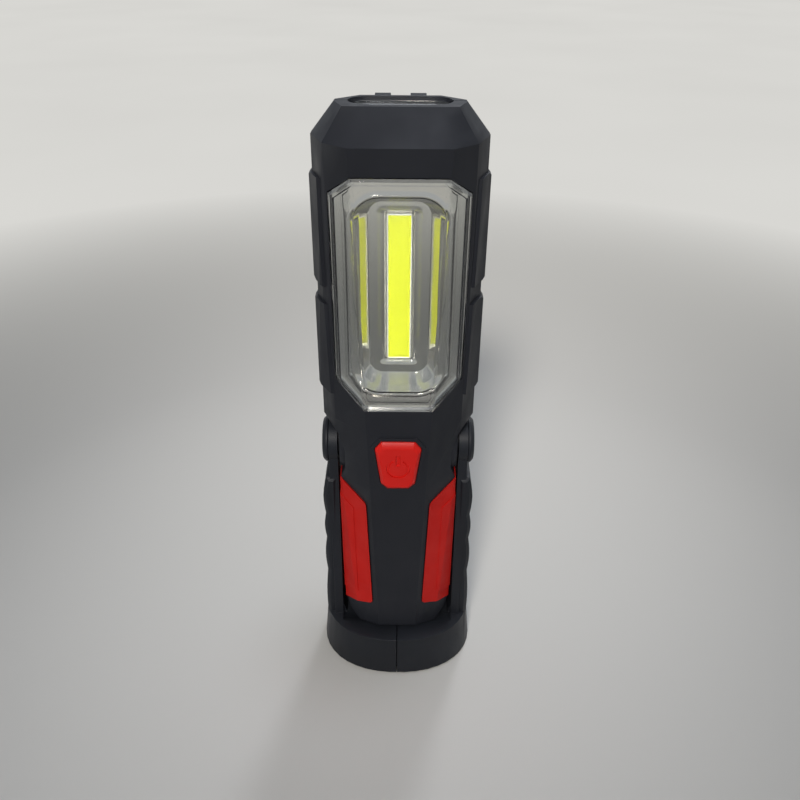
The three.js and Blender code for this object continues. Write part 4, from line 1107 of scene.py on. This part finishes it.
@dataclass(frozen=True)
class Lamp:
    """A soft spot lamp: its place and target in millimetres, its power, its radius in metres, and how
    wide its beam opens, in degrees."""

    name: str
    place: tuple[float, float, float]
    target: tuple[float, float, float]
    watts: float
    radius: float
    beam: float
    colour: str

    def build(self) -> None:
        """Adds the lamp, with an edge that fades over its whole beam."""
        light = bpy.data.lights.new(self.name, "SPOT")
        light.energy = self.watts
        light.color = linear(self.colour)[:3]
        light.shadow_soft_size = self.radius
        light.spot_size = math.radians(self.beam)
        light.spot_blend = 1.0
        holder = bpy.data.objects.new(self.name, light)
        holder.location = Vector(self.place) * MM
        aim = (Vector(self.target) - Vector(self.place)).to_track_quat("-Z", "Y")
        holder.rotation_euler = aim.to_euler()
        bpy.context.scene.collection.objects.link(holder)


LAMPS = (
    Lamp("key", (-250, -1250, 1150), (0, 40, 150), 190, 0.24, 15, "#fffaf4"),
    Lamp("top", (150, 150, 1500), (0, 60, 0), 48, 0.3, 21, "#eef4ff"),
    Lamp("rear", (350, 1250, 1150), (0, 60, 70), 60, 0.24, 14, "#f6f9ff"),
)


@dataclass
class Studio:
    """A pale floor, soft lamps and the camera at the photograph's angle."""

    floor_colour: str = "#d9d8d4"
    floor_shade: str = "#d5d4d0"
    floor_reach: float = 9000.0
    floor_clouds: float = 400.0
    floor_roughness: float = 0.85
    sky_colour: str = "#dfe3e8"
    sky_level: float = 0.13
    seen_level: float = 0.8
    pale_from: float = 240.0
    pale_beyond: float = 640.0
    camera_place: tuple[float, float, float] = (0.5, -241.0, 261.0)
    camera_pitch: float = 31.4
    camera_roll: float = 0.45
    focal_pixels: float = 798.0
    image_pixels: float = 800.0
    sensor: float = 36.0

    def build(self) -> None:
        """Builds the stage, the lamps and the camera."""
        self.floor()
        self.world()
        for lamp in LAMPS:
            lamp.build()
        self.camera()

    def floor(self) -> None:
        """The floor: a wide plane, on which the foot stands.

        Near the light it is lit paper that takes the shadow; far out it fades into an even pale
        ground that only the camera, gloss and glass see.
        """
        reach = self.floor_reach
        points = np.array([(-reach, -reach, 0), (reach, -reach, 0), (reach, reach, 0), (-reach, reach, 0)])
        piece = mesh_of("floor", points, [(0, 1, 2, 3)], closed=False)
        material, tree = blank_material("floor_paper")
        clouds = noise(tree, self.floor_clouds, 2)
        colour = mixed_colour(tree, clouds, self.floor_colour, self.floor_shade)
        paper = add_node(tree, "ShaderNodeBsdfPrincipled", {"Roughness": self.floor_roughness},
                         {"Base Color": colour})
        ground = add_node(tree, "ShaderNodeEmission", {"Strength": 1.0}, {"Color": colour})
        place = add_node(tree, "ShaderNodeTexCoord").outputs["Object"]
        away = add_node(tree, "ShaderNodeVectorMath", links={0: place}, operation="LENGTH").outputs["Value"]
        far = spread(tree, away, 0, 1, self.pale_from * MM, self.pale_beyond * MM)
        share = add_node(tree, "ShaderNodeMath", links={0: far, 1: self.seen(tree)}, operation="MULTIPLY")
        mixed = add_node(tree, "ShaderNodeMixShader",
                         links={0: share.outputs[0], 1: paper.outputs[0], 2: ground.outputs[0]})
        add_node(tree, "ShaderNodeOutputMaterial", links={"Surface": mixed.outputs["Shader"]})
        piece.data.materials.append(material)

    @staticmethod
    def seen(tree: bpy.types.NodeTree) -> Socket:
        """1 for rays from the camera, gloss and glass, and 0 for rays that carry soft light."""
        path = add_node(tree, "ShaderNodeLightPath").outputs
        first = add_node(tree, "ShaderNodeMath", operation="MAXIMUM",
                         links={0: path["Is Camera Ray"], 1: path["Is Glossy Ray"]})
        both = add_node(tree, "ShaderNodeMath", operation="MAXIMUM",
                        links={0: first.outputs[0], 1: path["Is Transmission Ray"]})
        return both.outputs[0]

    def world(self) -> None:
        """An even sky: dim as a light, and pale where it is seen."""
        world = bpy.data.worlds.new("studio_air")
        world.use_nodes = True
        tree = world.node_tree
        tree.nodes.clear()
        level = spread(tree, self.seen(tree), self.sky_level, self.seen_level, 0, 1)
        air = add_node(tree, "ShaderNodeBackground", {"Color": linear(self.sky_colour)},
                       {"Strength": level})
        add_node(tree, "ShaderNodeOutputWorld", links={"Surface": air.outputs["Background"]})
        bpy.context.scene.world = world

    def camera(self) -> None:
        """The camera: it looks along +Y and down, with a focal length worked out from pixels."""
        data = bpy.data.cameras.new("camera")
        data.lens = self.focal_pixels / self.image_pixels * self.sensor
        data.sensor_width = self.sensor
        data.clip_start = 0.01
        holder = bpy.data.objects.new("camera", data)
        tilt = Matrix.Rotation(math.radians(90 - self.camera_pitch), 4, "X")
        roll = Matrix.Rotation(math.radians(self.camera_roll), 4, "Z")
        holder.matrix_world = Matrix.Translation(Vector(self.camera_place) * MM) @ tilt @ roll
        bpy.context.scene.collection.objects.link(holder)
        bpy.context.scene.camera = holder


def main() -> None:
    logging.basicConfig(level=logging.INFO, format="%(message)s")
    bpy.context.scene.view_settings.view_transform = "Standard"
    for assembly in (Studio(), LampBody(), Window(), Torch(), PowerButton(), Stand()):
        assembly.build()


if __name__ == "__main__":
    main()
